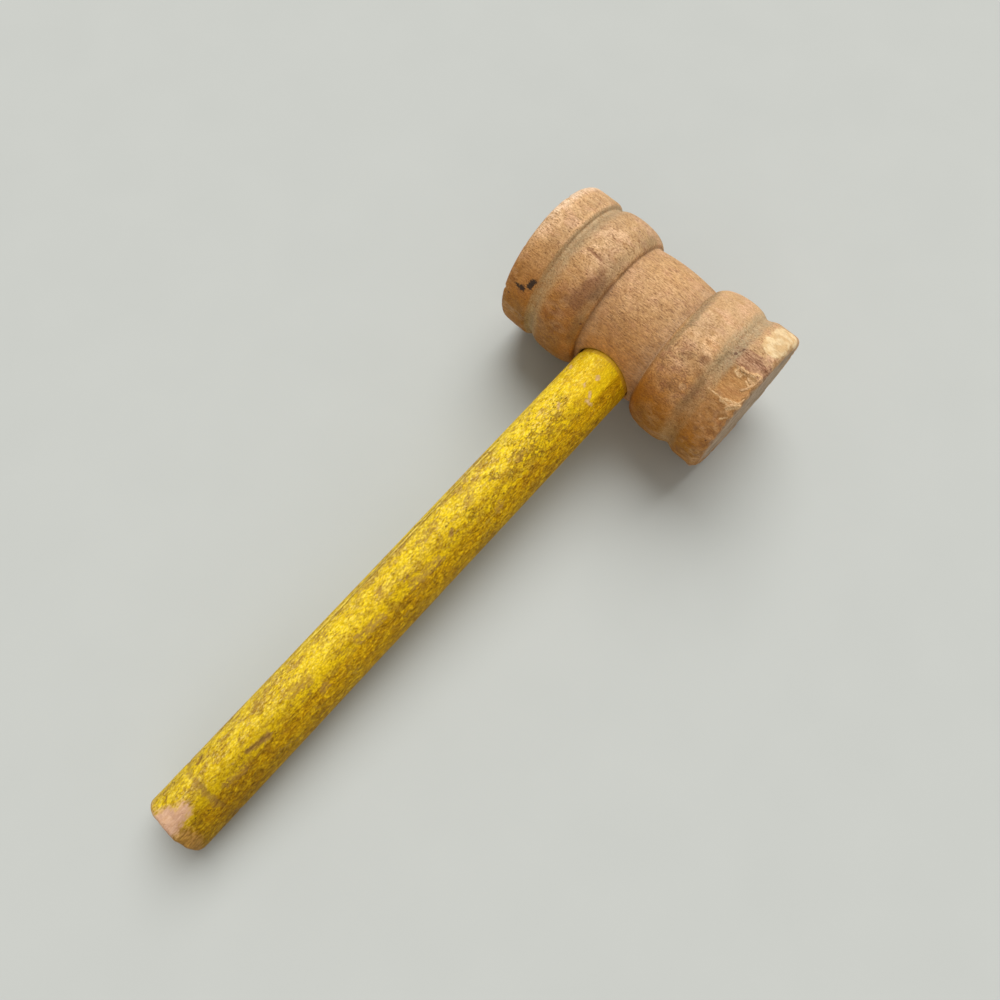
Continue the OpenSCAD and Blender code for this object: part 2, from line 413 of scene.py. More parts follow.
    # purple-brown stains and grimy mottles
    stain = smooth(4.2, 1.2, spot(x, t, -12.4, -20.0, -15.2, -40.0) + 1.8 * n1 + 0.6 * n3)
    stain = np.maximum(stain, 0.85 * smooth(1.9, 0.5, spot(x, t, 21.4, -18.5) + 0.9 * n1 + 0.4 * n3))
    stain = np.maximum(stain, 0.45 * smooth(4.0, 1.0, spot(x, t, 19.0, 150.0) + 2.4 * n1))
    stain = np.maximum(stain, 0.45 * smooth(5.0, 1.0, spot(x, t, -20.0, -140.0) + 2.4 * n1))
    # the low side of the right band: irregular purple and pale mottles
    foxed = smooth(27.6, 29.0, x) * smooth(-30.0, -38.0, t) * smooth(-170.0, -130.0, t) * side
    spots = noise(p / np.array([2.2, 1.5, 1.5]), 3, 93)
    stain = np.maximum(stain, 0.60 * foxed * smooth(0.06, 0.36, spots))
    pale += 0.26 * foxed * smooth(-0.14, -0.36, spots)
    stain = np.clip(stain * side, 0, 1)
    dirty = 0.85 * smooth(8.0, 3.0, spot(x, t, 15.5, -30.0, 20.5, -42.0) + 2.0 * n1) * smooth(10.0, 11.5, x)
    dirty = np.maximum(dirty, 0.5 * smooth(7.5, 2.0, spot(x, t, -18.0, -62.0, -20.0, -80.0) + 2.0 * n1))
    dirty = np.maximum(dirty, 0.35 * smooth(0.0, 0.5, noise(p / 8.0, 2, 91)) * (ax > 10.2) * (1 - 0.8 * smooth(-20.0, 0.0, t) * smooth(70.0, 50.0, t)))
    dirty = np.clip(dirty * side, 0, 1)
    # distances, in mm, to the ink marks and specks
    ink = np.minimum(
        spot(x, t, -32.2, -57.4, -29.9, -57.2) - 0.36 - 0.40 * smooth(-31.8, -30.2, x),
        spot(x, t, -28.3, -53.0, -27.8, -48.2) - 0.84,
    )
    ink = ink + 0.30 * n3
    speck = np.full(sh, 9.0)
    for x0, t0, size in [
        (-15.0, 32.0, 0.34), (-10.9, -53.0, 0.34), (-30.4, -70.0, 0.24), (-27.0, -83.0, 0.28), (-33.4, -68.0, 0.34),
        (26.1, -1.4, 0.50), (26.6, 1.3, 0.30), (27.0, 3.8, 0.40), (9.4, -2.0, 0.18), (10.3, 12.0, 0.26), (21.4, -40.5, 0.2),
        (-14.6, 12.0, 0.16), (-16.9, 3.0, 0.14), (34.4, -63.0, 0.4),
    ]:
        speck = np.minimum(speck, spot(x, t, x0, t0) - size)
    for k in range(26):
        speck = np.minimum(speck, spot(x, t, rng.uniform(-34, 34), rng.uniform(50, 290)) - rng.uniform(0.12, 0.34))
    # darker, more orange wood on the side towards the hand: handling patina, and painted shade of this side, which is
    # turned from the light
    hand = smooth(4.0, -72.0, wrap(t)) * smooth(-178.0, -150.0, wrap(t))
    hand = np.maximum(hand, 0.55 * smooth(120.0, 165.0, np.abs(wrap(t))))
    hand = np.clip(hand + 0.16 * noise(p / 9.0, 3, 81) * smooth(0.0, 0.3, hand), 0, 1) * side + (1 - side) * 0.45
    waist = smooth(12.0, 9.6, ax)
    # slow changes of tone, lighter and darker in given spots and in noise, with painted light on two shaded groove
    # walls
    glow = lambda x0, t0, size: np.exp(-((spot(x, t, x0, t0) / size) ** 2))
    tone = 1.0 - 0.13 * left * smooth(10.6, 12.5, ax) * smooth(26.0, 24.0, ax) * smooth(-30.0, -5.0, t) * smooth(120.0, 60.0, t)
    tone = tone - 0.04 * right * smooth(10.6, 12.5, ax) * smooth(-20.0, 0.0, t)
    tone = tone + left * side * smooth(27.0, 28.0, ax) * (0.07 * smooth(31.0, 34.0, ax) - 0.10 * smooth(31.0, 28.0, ax)) * smooth(-40.0, 0.0, t)
    tone = tone + 0.04 * glow(6.2, -22.0, 4.5) + 0.12 * glow(-7.8, -14.0, 4.0) - 0.15 * glow(-1.0, -38.0, 4.0)
    # painted light: paler on the bead's wall at the right groove and on the left band's shoulder, walls that face away
    # from the lamp
    tone = tone + 0.16 * np.exp(-(((x - 23.7) / 0.8) ** 2)) * smooth(-30.0, 0.0, t) * smooth(70.0, 40.0, t)
    tone = tone + 0.16 * np.exp(-(((x + 27.0) / 0.6) ** 2)) * upper * side
    tone = tone - 0.16 * glow(25.6, -10.0, 3.2) - 0.12 * glow(25.6, -34.0, 3.6) + 0.16 * glow(20.5, -38.0, 2.6) - 0.10 * glow(17.3, -16.0, 3.0)
    tone = tone - 0.12 * glow(-17.2, -66.0, 4.0) + 0.10 * glow(32.0, -66.0, 3.0) - 0.08 * glow(31.6, -44.0, 2.5)
    tone = tone + (0.10 * noise(p / 5.0, 2, 95) + 0.10 * smooth(26.8, 27.8, ax) * noise(p / 2.4, 2, 97)) * side + 0.12 * glow(20.2, -8.0, 2.4)
    tone = tone - 0.15 * np.exp(-(((x + 11.9) / 1.5) ** 2)) * smooth(-82.0, -66.0, t) * smooth(20.0, -10.0, t) - 0.08 * glow(-14.0, -4.0, 3.0)
    tone = tone + 0.14 * glow(-19.2, -9.0, 3.8) + 0.08 * glow(20.4, -8.0, 2.6) + 0.07 * glow(20.5, -40.0, 2.6) - 0.13 * glow(14.6, 1.0, 3.6) - 0.10 * glow(23.2, -18.0, 3.0) - 0.09 * glow(20.6, -27.0, 2.6)
    tone = tone - 0.10 * glow(26.2, 5.0, 3.0) - 0.14 * glow(34.4, 22.0, 2.6) - 0.08 * glow(31.0, 6.0, 4.0) + 0.09 * glow(16.0, -52.0, 4.0)
    tone = tone - 0.06 * waist * smooth(16.0, -16.0, t) * smooth(-90.0, -70.0, t)
    rim = smooth(-32.2, -35.0, x) * smooth(-34.0, 16.0, t) * smooth(160.0, 100.0, t) * side
    # painted shade: the underside is tinted less red and a little bluer
    under = smooth(-58.0, -82.0, t) * smooth(-176.0, -120.0, t) * smooth(12.0, 15.0, ax) * side
    sleek = 0.45 * right * smooth(11.0, 13.0, ax) * smooth(26.0, 24.0, ax) * smooth(-25.0, -5.0, t) * smooth(130.0, 70.0, t)
    sleek = np.maximum(sleek, 0.60 * foxed)
    smear = np.exp(-(((lip - HOLE_R - 0.35) / 0.45) ** 2)) * low * smooth(-0.5, 0.5, np.sin(np.arctan2(loc[..., 2], x)) + 0.8 * n3)
    obj = lathe(
        "head_turned", rings, rings[0].mean(0), rings[-1].mean(0),
        dict(loc=loc, dust=dust, line=line, olive=olive, worn=worn, cream=cream, pale=np.clip(pale, 0, 1), fresh=fresh,
             torn=torn, rub=rub, stain=stain, dirty=dirty, ink=ink, speck=speck, hand=hand, waist=waist,
             scratch=scratch, tone=tone, sleek=sleek, smear=smear, rim=rim, under=under, end=1 - side),
    )
    return obj


def splinters(obj):
    """Shreds torn up at the edges of the flake and of the rim, as closed slivers of the head's own mesh."""
    rng = np.random.RandomState(5)
    bm = bmesh.new()
    bm.from_mesh(obj.data)
    at = bm.verts.layers.float_vector["loc"]
    given = dict(torn=0.60, ink=9.0, speck=9.0, tone=1.0)
    keys = {k: (bm.verts.layers.float[k], v) for k, v in given.items()}
    # width, lift and the places (x, angle) that a shred runs through
    shreds = [
        (0.66, 0.18, [(28.7, -8.0), (29.5, -10.8), (30.8, -11.6), (31.2, -9.4)]),
        (0.90, 0.08, [(29.3, -7.4), (30.6, -8.0), (32.0, -7.8)]),
        (0.80, 0.20, [(32.2, -9.0), (33.2, -11.0), (34.2, -10.6), (34.4, -7.4)]),
        (0.70, 0.24, [(32.9, -19.4), (33.9, -16.8), (34.6, -11.5), (35.1, -4.0)]),
        (0.80, 0.22, [(33.0, -34.6), (33.4, -31.4), (34.4, -29.2), (35.0, -26.0), (35.2, -22.0)]),
        (0.60, 0.10, [(31.6, -28.6), (32.8, -29.6), (34.0, -30.6)]),
    ]
    for k in range(5):
        t0 = rng.uniform(70, 270)
        shreds.append((0.4, 0.10, [(33.2, t0), (34.0, t0 + rng.uniform(-3, 3)), (34.8, t0 + rng.uniform(-6, 6))]))

    def ground(px, pt):
        worn_c = END_R["c"] + 1.15 * math.exp(-(((pt + 90) / 36) ** 2))
        over = min(max(px - (END_R["H"] - worn_c), 0), worn_c * 0.98)
        out = END_R["rx"] - worn_c + math.sqrt(worn_c**2 - over**2)
        if -31 < pt < -8.5 and px > 26.5:
            cut = 0.55 + 0.35 * float(smooth(27.0, 34.5, px))
            out = min(out, (21.95 - cut) / math.cos(math.radians(pt + 16.0)))
        return out

    for width, lift, places in shreds:
        places = np.array(places, float)
        n = 5 * len(places)
        knots = np.linspace(0, 1, len(places))
        u = np.linspace(0, 1, n)
        xs, ts = np.interp(u, knots, places[:, 0]), np.interp(u, knots, places[:, 1])
        for _ in range(3):
            xs[1:-1] = (xs[:-2] + 2 * xs[1:-1] + xs[2:]) / 4
            ts[1:-1] = (ts[:-2] + 2 * ts[1:-1] + ts[2:]) / 4
        base = np.array([ground(a, b) for a, b in zip(xs, ts)])
        for _ in range(2):
            base[1:-1] = (base[:-2] + 2 * base[1:-1] + base[2:]) / 4
        rise = base - 0.06 + lift * (0.25 + 0.75 * np.sin(np.pi * (0.12 + 0.76 * u)) ** 0.8)
        rise = np.minimum(rise, 22.30)
        a = np.radians(ts)
        mid = np.stack([xs, rise * np.sin(a), rise * np.cos(a)], 1)
        go = np.gradient(mid, axis=0)
        go /= np.linalg.norm(go, axis=1)[:, None]
        up = np.stack([0 * a, np.sin(a), np.cos(a)], 1)
        off = np.cross(go, up)
        off /= np.linalg.norm(off, axis=1)[:, None]
        up = np.cross(off, go)
        roll = rng.uniform(-0.35, 0.35) * u
        off, up = off * np.cos(roll)[:, None] + up * np.sin(roll)[:, None], up * np.cos(roll)[:, None] - off * np.sin(roll)[:, None]
        taper = np.clip(np.sin(np.pi * np.minimum(1.0, 0.16 + 0.82 * u)) ** 0.6, 0.10, 1.0) * (1 + 0.22 * np.sin(9 * u + width * 20))
        vs = []
        for k in range(n):
            w, h = width / 2 * taper[k], 0.09 * taper[k] ** 0.5
            ring = [mid[k] + off[k] * w, mid[k] + off[k] * w * 0.45 + up[k] * h, mid[k] - off[k] * w * 0.45 + up[k] * h,
                    mid[k] - off[k] * w, mid[k] - off[k] * w * 0.45 - up[k] * h, mid[k] + off[k] * w * 0.45 - up[k] * h]
            row = []
            for q, co in zip(ring, place(np.array(ring))):
                v = bm.verts.new(tuple(co))
                v[at] = tuple(float(c) for c in q)
                for layer, value in keys.values():
                    v[layer] = value
                row.append(v)
            vs.append(row)
        for low, high in zip(vs[:-1], vs[1:]):
            for k in range(6):
                bm.faces.new((low[k], low[(k + 1) % 6], high[(k + 1) % 6], high[k]))
        bm.faces.new(vs[0][::-1])
        bm.faces.new(vs[-1])
    bm.normal_update()
    bm.to_mesh(obj.data)
    bm.free()


def drill(obj):
    """Cut the blind hole for the handle with an exact boolean."""
    bm = bmesh.new()
    seg = 144
    top, bottom = -26.0, 10.0
    ra = []
    for y in (top, bottom):
        ring = [bm.verts.new(tuple(place([[HOLE_R * math.cos(2 * math.pi * k / seg), y, HOLE_R * math.sin(2 * math.pi * k / seg)]])[0])) for k in range(seg)]
        ra.append(ring)
    for k in range(seg):
        n = (k + 1) % seg
        bm.faces.new((ra[0][k], ra[0][n], ra[1][n], ra[1][k]))
    bm.faces.new(ra[0][::-1])
    bm.faces.new(ra[1])
    bmesh.ops.recalc_face_normals(bm, faces=bm.faces)
    me = bpy.data.meshes.new("hole_tool")
    bm.to_mesh(me)
    bm.free()
    tool = bpy.data.objects.new("hole_tool", me)
    bpy.context.scene.collection.objects.link(tool)
    mod = obj.modifiers.new("hole", "BOOLEAN")
    mod.operation = "DIFFERENCE"
    mod.solver = "EXACT"
    mod.object = tool
    bpy.context.view_layer.update()
    done = bpy.data.meshes.new_from_object(obj.evaluated_get(bpy.context.evaluated_depsgraph_get()))
    obj.modifiers.clear()
    old = obj.data
    obj.data = done
    done.name = old.name + "_cut"
    bpy.data.meshes.remove(old)
    bpy.data.objects.remove(tool)
    bpy.data.meshes.remove(me)
    count = len(done.vertices)
    co = np.empty(count * 3)
    done.vertices.foreach_get("co", co)
    own = unplace(co.reshape(-1, 3))
    wall = (np.abs(np.hypot(own[:, 0], own[:, 2]) - HOLE_R) < 0.03) & (own[:, 1] < 10.1) & (own[:, 1] > -22)
    wall |= (np.abs(own[:, 1] - 10) < 0.02) & (np.hypot(own[:, 0], own[:, 2]) < HOLE_R + 0.03)
    for a in done.attributes:
        if a.domain != "POINT" or a.data_type != "FLOAT":
            continue
        v = np.empty(count)
        a.data.foreach_get("value", v)
        # the hole's wall takes the low side's colour, olive and a darker tone: painted shade in the recess
        v[wall] = {"ink": 9.0, "speck": 9.0, "hand": 1.0, "waist": 1.0, "olive": 0.55, "tone": 0.9}.get(a.name, 0.0)
        a.data.foreach_set("value", v.astype(np.float32))
    a = done.attributes["loc"]
    v = np.empty(count * 3)
    a.data.foreach_get("vector", v)
    v = v.reshape(-1, 3)
    v[wall] = own[wall]
    a.data.foreach_set("vector", v.astype(np.float32).ravel())


# ---------------------------------------------------------------- the handle
def along(s, ph, s0, p0, s1=None, p1=None, stretch=1.0):
    """Distance in mm on the skin of the dowel from a short line between two places."""
    a = np.radians(wrap(ph - p0)) * HANDLE_R
    if s1 is None:
        return np.hypot((s - s0) / stretch, a)
    ds, da = s1 - s0, math.radians(p1 - p0) * HANDLE_R
    t = np.clip(((s - s0) * ds + a * da) / (ds * ds + da * da), 0, 1)
    return np.hypot(s - s0 - t * ds, a - t * da)


def build_handle():
    edge = 1.25
    u = list(np.linspace(-TENON + 0.8, 14.0, 12))
    u += list(np.arange(14.5, REACH - edge - 0.02, 0.385))
    line = [(v, HANDLE_R) for v in u]
    head_end = [(-TENON, r) for r in (2.5, 5.0, 7.0)] + [(-TENON, HANDLE_R - 0.8)]
    butt = [(REACH - edge + edge * math.sin(a), HANDLE_R - edge + edge * math.cos(a)) for a in np.linspace(0, math.pi / 2, 8)]
    butt += [(REACH, r) for r in (7.2, 6.85, 6.4, 5.9, 5.35, 4.7, 4.0, 3.2, 2.3, 1.3)]
    prof = np.array(head_end + line + butt)
    S, R = prof[:, 0], prof[:, 1]
    NS, NR = np.zeros(len(S)), np.ones(len(S))
    nb = len(butt)
    NS[-nb:-nb + 8] = np.sin(np.linspace(0, math.pi / 2, 8))
    NR[-nb:-nb + 8] = np.cos(np.linspace(0, math.pi / 2, 8))
    NS[-nb + 8:], NR[-nb + 8:] = 1, 0
    NS[:4], NR[:4] = -1, 0
    m = 216
    ph = np.linspace(-180, 180, m, endpoint=False)
    s, f = np.meshgrid(S, ph, indexing="ij")
    r = np.repeat(R[:, None], m, 1)
    fr = np.radians(f)
    loc = np.stack([r * np.sin(fr), -s, r * np.cos(fr)], -1)
    p = loc.reshape(-1, 3)
    sh = s.shape
    noise = lambda q, o, seed: fbm(q, o, seed).reshape(sh)
    skin = (r > 7.6) * 1.0
    shown = smooth(17.0, 21.0, s)
    d = np.zeros(sh)
    d += 0.05 * noise(p / np.array([9.0, 34.0, 9.0]), 3, 101) * skin - 0.03
    # the dowel is no longer round: two rubbed flats meet in a soft ridge
    ridge = 33.0 - 6.0 * smooth(60.0, 125.0, s) + 2.2 * noise(np.stack([s.ravel() / 22.0, 0 * s.ravel(), 0 * s.ravel()], 1), 2, 103)
    flat1 = (HANDLE_R - 0.21) / np.maximum(0.3, np.cos(np.radians(wrap(f - ridge - 12.5)))) - HANDLE_R
    flat2 = (HANDLE_R - 0.09) / np.maximum(0.3, np.cos(np.radians(wrap(f - ridge + 8.2)))) - HANDLE_R
    flat3 = (HANDLE_R - 0.10) / np.maximum(0.3, np.cos(np.radians(wrap(f + 100)))) - HANDLE_R
    d = np.minimum(d, np.where(shown > 0, flat1 * shown + (1 - shown) * 0.05, 0.05))
    d = np.minimum(d, np.where(shown > 0, flat2 * shown + (1 - shown) * 0.05, 0.05))
    d = np.minimum(d, np.where(shown > 0, flat3 * shown + (1 - shown) * 0.05, 0.05))
    # long splits in the film along the dowel's left side
    sway = noise(np.stack([s.ravel() / 16.0, 0 * s.ravel(), 0 * s.ravel()], 1), 2, 105)
    rail = np.exp(-(((f + 47 + 5 * sway) / 1.9) ** 2)) * smooth(50, 58, s) * smooth(142, 118, s)
    rail = np.maximum(rail, np.exp(-(((f + 56 - 4 * sway) / 2.2) ** 2)) * smooth(46, 56, s) * smooth(120, 100, s))
    rail = np.maximum(rail, 0.8 * np.exp(-(((f + 64 + 3 * sway) / 2.2) ** 2)) * smooth(90, 100, s) * smooth(160, 140, s))
    rail = np.maximum(rail, 0.8 * np.exp(-(((f - 118 + 5 * sway) / 2.4) ** 2)) * smooth(40, 60, s) * smooth(150, 120, s))
    rail = rail * np.clip(0.75 + 1.2 * noise(p / np.array([1.5, 5.0, 1.5]), 2, 107), 0, 1)
    d -= 0.13 * rail * skin
    # fields of wear: mottled patches drawn out along the dowel
    q0 = p * np.array([0.55, 0.20, 0.55])
    warp = np.stack([fbm(q0 * 1.7 + 3.1, 2, 111), 0.5 * fbm(q0 * 1.7 + 7.7, 2, 112), fbm(q0 * 1.7 + 5.5, 2, 113)], -1)
    mott = fbm(q0 + 0.55 * warp, 4, 115, 0.6).reshape(sh)
    fine = noise(p * np.array([1.7, 0.75, 1.7]), 3, 117)
    near = smooth(44.0, 24.0, s + 0.10 * np.abs(f))
    wear = mott + 0.30 * fine
    wear += 0.20 * smooth(34.0, 90.0, s) - 0.30
    wear += 0.10 * smooth(20.0, 50.0, np.abs(wrap(f - 110)) * -1 + 90)
    wear -= 0.55 * near
    # chips, gashes and the worn ring, as distances in mm
    chip = np.full(sh, 9.0)
    for s0, p0, s1, p1, w in [
        (23.5, 10.2, 23.7, 11.8, 0.58), (30.3, 23.0, 30.2, 35.0, 0.40), (24.7, -50.0, 25.3, -46.0, 0.46),
        (27.2, 2.0, 27.9, 5.0, 0.30), (28.2, 20.0, 28.8, 23.0, 0.36), (36.0, -8.0, 37.0, -3.0, 0.34),
    ]:
        chip = np.minimum(chip, along(s, f, s0, p0, s1, p1) - w)
    gash = np.full(sh, 9.0)
    for s0, p0, s1, p1, w in [
        (79.8, 7.0, 81.2, 12.5, 0.40), (147.3, 19.5, 149.2, 18.0, 0.62), (150.2, 17.5, 153.6, 13.0, 0.34),
        (162.6, -46.0, 163.8, -38.0, 0.50), (174.4, -37.0, 174.8, -33.0, 0.42), (96.0, 8.0, 97.6, 9.0, 0.28),
        (60.0, 170.0, 66.0, 165.0, 0.6), (120.0, 140.0, 124.0, 150.0, 0.7), (140.0, -130.0, 146.0, -126.0, 0.6),
    ]:
        gash = np.minimum(gash, along(s, f, s0, p0, s1, p1) - w)
    smudge = 1.4 - along(s, f, 166.4, 26.0, 167.4, 35.0)
    for s0, p0, s1, p1, w in [
        (167.0, -38.0, 166.6, 20.0, 1.2), (147.0, 20.0, 153.0, 14.0, 1.3), (131.0, 4.0, 137.0, -2.0, 1.8), (108.0, 22.0, 116.0, 20.0, 1.6),
        (88.0, 26.0, 97.0, 24.0, 1.7), (66.0, -20.0, 72.0, -26.0, 1.5), (140.0, -40.0, 146.0, -38.0, 1.4), (156.0, 30.0, 162.0, 26.0, 1.5),
        (82.0, -22.0, 88.0, -16.0, 1.6), (119.0, -34.0, 127.0, -38.0, 1.4), (100.0, -4.0, 104.0, -8.0, 1.3),
        (70.0, -10.0, 71.6, -4.0, 1.7), (66.0, 38.0, 67.6, 44.0, 1.5), (129.0, -30.0, 131.0, -28.0, 1.3), (129.4, 33.0, 131.0, 36.0, 1.4),
        (144.0, -33.0, 146.0, -31.0, 1.3), (56.0, -40.0, 64.0, -38.0, 1.1), (43.0, -41.0, 49.0, -43.0, 1.1), (67.0, -41.0, 75.0, -40.0, 1.2), (84.0, -40.0, 92.0, -42.0, 1.1), (53.0, 5.0, 55.0, 9.0, 1.3),
    ]:
        smudge = np.maximum(smudge, w - along(s, f, s0, p0, s1, p1))
    smudge = np.minimum(smudge, 0.75) + 0.5 * fine
    ringd = np.abs(s - 166.35 - 0.35 * noise(np.stack([np.sin(fr).ravel() * 2, np.cos(fr).ravel() * 2, 0 * fr.ravel()], 1), 2, 121))
    ring_on = 0.35 + 0.65 * smooth(-0.2, 0.25, noise(p / 3.5, 2, 123) + 0.35 * np.exp(-(((f + 42) / 18) ** 2)) + 0.3 * np.exp(-(((f - 15) / 22) ** 2)))
    bare = np.minimum(
        along(s, f, 177.6, -2.0, 180.0, -8.0) - 3.7,
        along(s, f, 172.8, 3.0, 177.0, 4.0) - 1.9,
        along(s, f, 180.2, -34.0, 180.4, -20.0) - 1.8,
    )
    hem = (REACH - 0.9) - s + 0.8 * noise(p / np.array([1.2, 2.2, 1.2]), 3, 129) - 0.9 * np.exp(-((wrap(f - 20) / 60) ** 2)) - 2.0 * np.exp(-((wrap(f - 8) / 28) ** 2)) - 2.6 * np.exp(-((wrap(f - 52) / 30) ** 2))
    bare = bare + 0.9 * noise(p / np.array([1.6, 3.4, 1.6]), 3, 127)
    lost = smooth(0.05, 0.16, wear)
    lost = np.maximum(lost, smooth(0.12, -0.12, chip + 0.25 * fine))
    lost = np.maximum(lost, smooth(0.12, -0.12, gash + 0.25 * fine))
    lost = np.maximum(lost, smooth(0.3, -0.3, bare))
    d -= 0.065 * lost * skin * shown
    d -= 0.16 * smooth(0.15, -0.35, gash) * skin
    d -= 0.10 * smooth(0.15, -0.35, chip) * skin
    d -= 0.17 * np.exp(-((ringd / 0.55) ** 2)) * ring_on * skin
    d -= 0.22 * smooth(0.6, -2.6, bare) * (s > 168)
    d -= 0.30 * np.exp(-((along(s, f, 162.9, -43.0) / 0.8) ** 2)) + 0.22 * np.exp(-((along(s, f, 166.3, -40.0) / 0.8) ** 2))
    # knocks on the skin and along the butt
    rng = np.random.RandomState(23)
    for k in range(70):
        q = along(s, f, rng.uniform(24, 178), rng.uniform(-180, 180), stretch=rng.uniform(1, 2.6)) / rng.uniform(0.4, 1.1)
        d -= rng.uniform(0.03, 0.10) * np.exp(-(q**2))
    for k in range(16):
        q = along(s, f, rng.uniform(177.6, 179.4), rng.uniform(-180, 180)) / rng.uniform(0.5, 1.3)
        d -= rng.uniform(0.06, 0.22) * np.exp(-(q**2))
    d += 0.02 * noise(p / 0.8, 2, 131) * (r < 7.6) - 0.03 * (s >= REACH - 0.01)
    d = np.minimum(d, 0.0)
    d = np.where(s < 16.0, np.minimum(d, 0.0) * 0, d)
    rr = r + d * NR[:, None]
    ss = s + d * NS[:, None]
    off = 0.05 * smooth(60.0, 10.0, s)
    rings = np.stack([rr * np.sin(fr) + off, -ss, rr * np.cos(fr)], -1)
    pits = np.exp(-(((s - 46.0) / 24.0) ** 2)) * np.exp(-((wrap(f - 2.0) / 55.0) ** 2)) * smooth(24.0, 33.0, s)
    crazed = np.zeros(sh)
    for s0, p0, size in [(47.5, -1.0, 2.3), (53.3, 4.0, 2.5), (49.2, 26.0, 1.9), (39.4, 4.0, 2.1), (35.0, -8.0, 1.7), (43.0, 14.0, 1.5), (58.5, 17.0, 1.7), (63.0, -6.0, 1.6), (74.0, 12.0, 1.8)]:
        crazed = np.maximum(crazed, np.exp(-((along(s, f, s0, p0) / size) ** 4)))
    pits = np.clip(0.7 * pits + 0.20 + 0.30 * noise(p / 7.0, 2, 135), 0, 1) * smooth(25.0, 38.0, s)
    flank = smooth(-3.5, 3.5, f - ridge) * smooth(178.0, 150.0, f)
    # painted shade: darker as the dowel turns away from the light
    painted_turn_shade = smooth(-12.0, 17.0, f) * smooth(176.0, 140.0, f)
    lit = np.exp(-((wrap(f + 24) / 20) ** 2)) * smooth(30.0, 40.0, s)
    # where the dowel enters the head: the film ends in a darker orange-brown edge, with painted shadow in the gap at
    # two places
    seat = s - np.sqrt((19.62 - 0.7 * (HANDLE_R * np.sin(fr) / 10.2) ** 2) ** 2 - (HANDLE_R * np.cos(fr)) ** 2)
    gap = np.maximum(np.exp(-((wrap(f + 66) / 8) ** 2)), 0.8 * np.exp(-((wrap(f - 87) / 5) ** 2)))
    # painted highlight on the ridge between the two long splits
    crest = np.exp(-((wrap(f + 51.5 + 2 * sway) / 2.0) ** 2)) * smooth(48, 58, s) * smooth(140, 118, s)
    obj = lathe(
        "handle_dowel", rings, rings[0].mean(0), rings[-1].mean(0),
        dict(loc=loc, wear=wear, chip=chip, gash=gash, ring=ringd + 1.2 * (1 - ring_on), bare=bare, hem=hem, rail=rail,
             smudge=smudge, pits=pits, flank=flank, near=near, root=smooth(36.0, 17.0, s) * (0.6 + 0.4 * flank), painted_turn_shade=painted_turn_shade, lit=lit, seat=seat, gap=gap, crest=crest, crazed=crazed, crumbly=smooth(100.0, 66.0, s), late=smooth(40.0, 80.0, s), dim=smooth(115.0, 176.0, s) * (0.45 + 0.55 * smooth(-12.0, 22.0, f)) * smooth(178.0, 150.0, f), end=smooth(7.9, 7.0, r) * (s > 100), tail=smooth(160.0, 179.0, s)),
    )
    return obj


